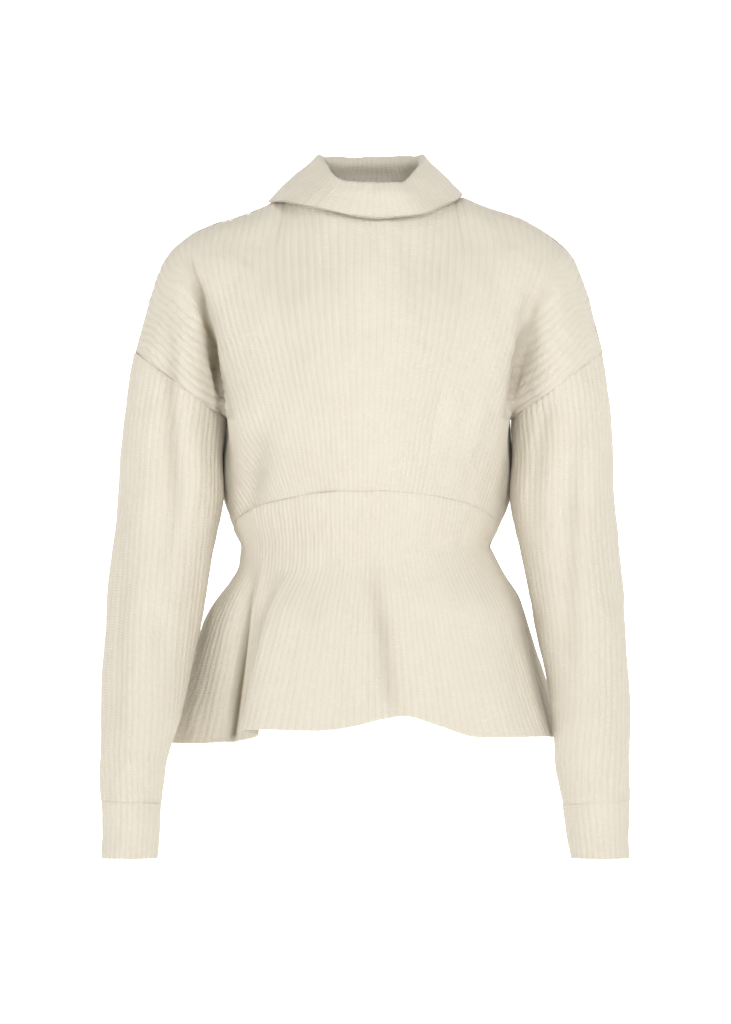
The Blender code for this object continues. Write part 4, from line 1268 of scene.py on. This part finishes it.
class SWEATER_OT_linking(bpy.types.Operator):
    """Link the pieces with rows of beads in the seams"""

    bl_idname = "sweater.linking"
    bl_label = "Linked seams"

    def execute(self, context):
        ribs = np.linspace(NECK_RIB, HALF_RIBS, 60)
        for name, side in (("left", -1), ("right", 1)):
            top = bodice_form(-1, ribs * side, np.array((0.0,)))[0]
            rise = unit(np.gradient(top, axis=0))
            up = unit(np.cross(rise, np.array((0.0, side, 0.0))))
            up *= np.where(up[:, 2:] < 0, -1.0, 1.0)
            chain("shoulder_linking_" + name, top, up, SHOULDER_YARN, False)
            turns = np.linspace(-math.pi, math.pi, 121)
            for piece, cuts, yarn in (
                ("armhole_linking_", SLEEVE_CUTS, ARMHOLE_YARN),
                ("cuff_linking_", CUFF_CUTS, CUFF_YARN),
            ):
                ring = tube_form(cuts, side, np.array((0.0,)), turns)[0][0]
                chain(piece + name, ring, unit(ring - ring[:-1].mean(axis=0)), yarn, True)
        waist = peplum_form(np.linspace(0.0, 4 * HALF_RIBS, 481), np.array((-1.0,)))[0]
        chain("waist_linking", waist, unit(waist * LEVEL), WAIST_YARN, True, "shaded_edge_yarn")
        around = np.linspace(0.0, 2 * math.pi, 241)
        edge, above = collar_form(around, np.array((0.0, 0.04)))
        chain("collar_edging", edge, unit(edge - above), COLLAR_YARN, True, "shaded_edge_yarn")
        return {"FINISHED"}


# ------------------------------------------------------------------ studio
class SWEATER_OT_studio(bpy.types.Operator):
    """Set the pale floor and backdrop, the soft light and the camera"""

    bl_idname = "sweater.studio"
    bl_label = "Studio"

    def execute(self, context):
        scene = context.scene
        self.make_backdrop(scene)
        self.make_lights(scene)
        self.make_camera(scene)
        scene.view_settings.view_transform = "Standard"
        return {"FINISHED"}

    def make_backdrop(self, scene):
        """A floor that curves up into a backdrop."""
        bm = bmesh.new()
        bmesh.ops.create_grid(bm, x_segments=2, y_segments=FLOOR_STEPS, size=1.0)
        for vert in bm.verts:
            run = FLOOR_FRONT + (vert.co.y + 1.0) / 2 * FLOOR_RUN
            angle = min(max((run - BEND_START) / BEND_RUN, 0.0), 1.0) * math.pi / 2
            curved = BEND_START + BEND_RADIUS * math.sin(angle)
            raised = BEND_RADIUS * (1 - math.cos(angle))
            beyond = max(run - BEND_START - BEND_RUN, 0.0)
            vert.co = (vert.co.x * FLOOR_WIDTH, min(run, curved), FLOOR_Z + raised + beyond)
        mesh = bpy.data.meshes.new("studio_floor")
        bm.to_mesh(mesh)
        bm.free()
        mesh.shade_smooth()
        floor = bpy.data.objects.new("studio_floor", mesh)
        scene.collection.objects.link(floor)
        paint = bpy.data.materials.new("studio_white")
        paint.use_nodes = True
        shader = paint.node_tree.nodes["Principled BSDF"]
        colour = (*scene.sweater_colours.studio, 1.0)
        fill(shader, {"Base Color": colour, "Roughness": 0.9, "Emission Color": colour})
        nodes = paint.node_tree.nodes
        links = paint.node_tree.links
        place = nodes.new("ShaderNodeTexCoord")
        split = nodes.new("ShaderNodeSeparateXYZ")
        glow = nodes.new("ShaderNodeMapRange")
        fill(glow, FLOOR_GLOW)
        links.new(place.outputs["Object"], split.inputs[0])
        links.new(split.outputs["Y"], glow.inputs["Value"])
        links.new(glow.outputs[0], shader.inputs["Emission Strength"])
        mesh.materials.append(paint)

    def make_lights(self, scene):
        """Soft lights in front, at the sides and above, and pale air all round."""
        world = bpy.data.worlds.new("studio_air")
        world.use_nodes = True
        air = {"Color": (1.0, 1.0, 1.0, 1.0), "Strength": AIR_LIGHT}
        fill(world.node_tree.nodes["Background"], air)
        scene.world = world
        for name, (place, size, power) in SOFTBOXES.items():
            light = bpy.data.lights.new(name, "AREA")
            light.shape = "DISK"
            light.size = size
            light.energy = power
            lamp = bpy.data.objects.new(name, light)
            scene.collection.objects.link(lamp)
            lamp.location = place
            across, ahead, up = np.subtract(LIGHT_AIM, place)
            tip = math.atan2(up, math.hypot(across, ahead))
            lamp.rotation_euler = (math.pi / 2 + tip, 0.0, math.atan2(-across, ahead))

    def make_camera(self, scene):
        """A long lens straight in front."""
        camera = bpy.data.cameras.new("front_camera")
        camera.lens = SENSOR * CAMERA_DISTANCE / VIEW_HEIGHT
        eye = bpy.data.objects.new("front_camera", camera)
        scene.collection.objects.link(eye)
        eye.location = (0.0, -CAMERA_DISTANCE, CAMERA_Z)
        eye.rotation_euler = (math.pi / 2, 0.0, 0.0)
        scene.camera = eye


# ------------------------------------------------------------------ panel and registration
OPERATORS = (
    SWEATER_OT_bodice,
    SWEATER_OT_sleeves,
    SWEATER_OT_cuffs,
    SWEATER_OT_collar,
    SWEATER_OT_peplum,
    SWEATER_OT_linking,
    SWEATER_OT_studio,
)


class SWEATER_PT_panel(bpy.types.Panel):
    """Lists the sweater's pieces and settings"""

    bl_idname = "SWEATER_PT_panel"
    bl_label = "Peplum sweater"
    bl_space_type = "VIEW_3D"
    bl_region_type = "UI"
    bl_category = "Sweater"

    def draw(self, context):
        for settings in (context.scene.sweater_knit, context.scene.sweater_colours):
            for key in settings.bl_rna.properties.keys():
                if key not in {"rna_type", "name"}:
                    self.layout.prop(settings, key)
        for operator in OPERATORS:
            self.layout.operator(operator.bl_idname)


CLASSES = (SweaterKnit, SweaterColours, *OPERATORS, SWEATER_PT_panel)


def register():
    for item in CLASSES:
        bpy.utils.register_class(item)
    bpy.types.Scene.sweater_knit = bpy.props.PointerProperty(type=SweaterKnit)
    bpy.types.Scene.sweater_colours = bpy.props.PointerProperty(type=SweaterColours)


def unregister():
    del bpy.types.Scene.sweater_colours
    del bpy.types.Scene.sweater_knit
    for item in reversed(CLASSES):
        bpy.utils.unregister_class(item)


def main():
    """Make every piece and the studio."""
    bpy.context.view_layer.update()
    register()
    bpy.ops.sweater.bodice()
    bpy.ops.sweater.sleeves()
    bpy.ops.sweater.cuffs()
    bpy.ops.sweater.collar()
    bpy.ops.sweater.peplum()
    bpy.ops.sweater.linking()
    bpy.ops.sweater.studio()


if __name__ == "__main__":
    main()
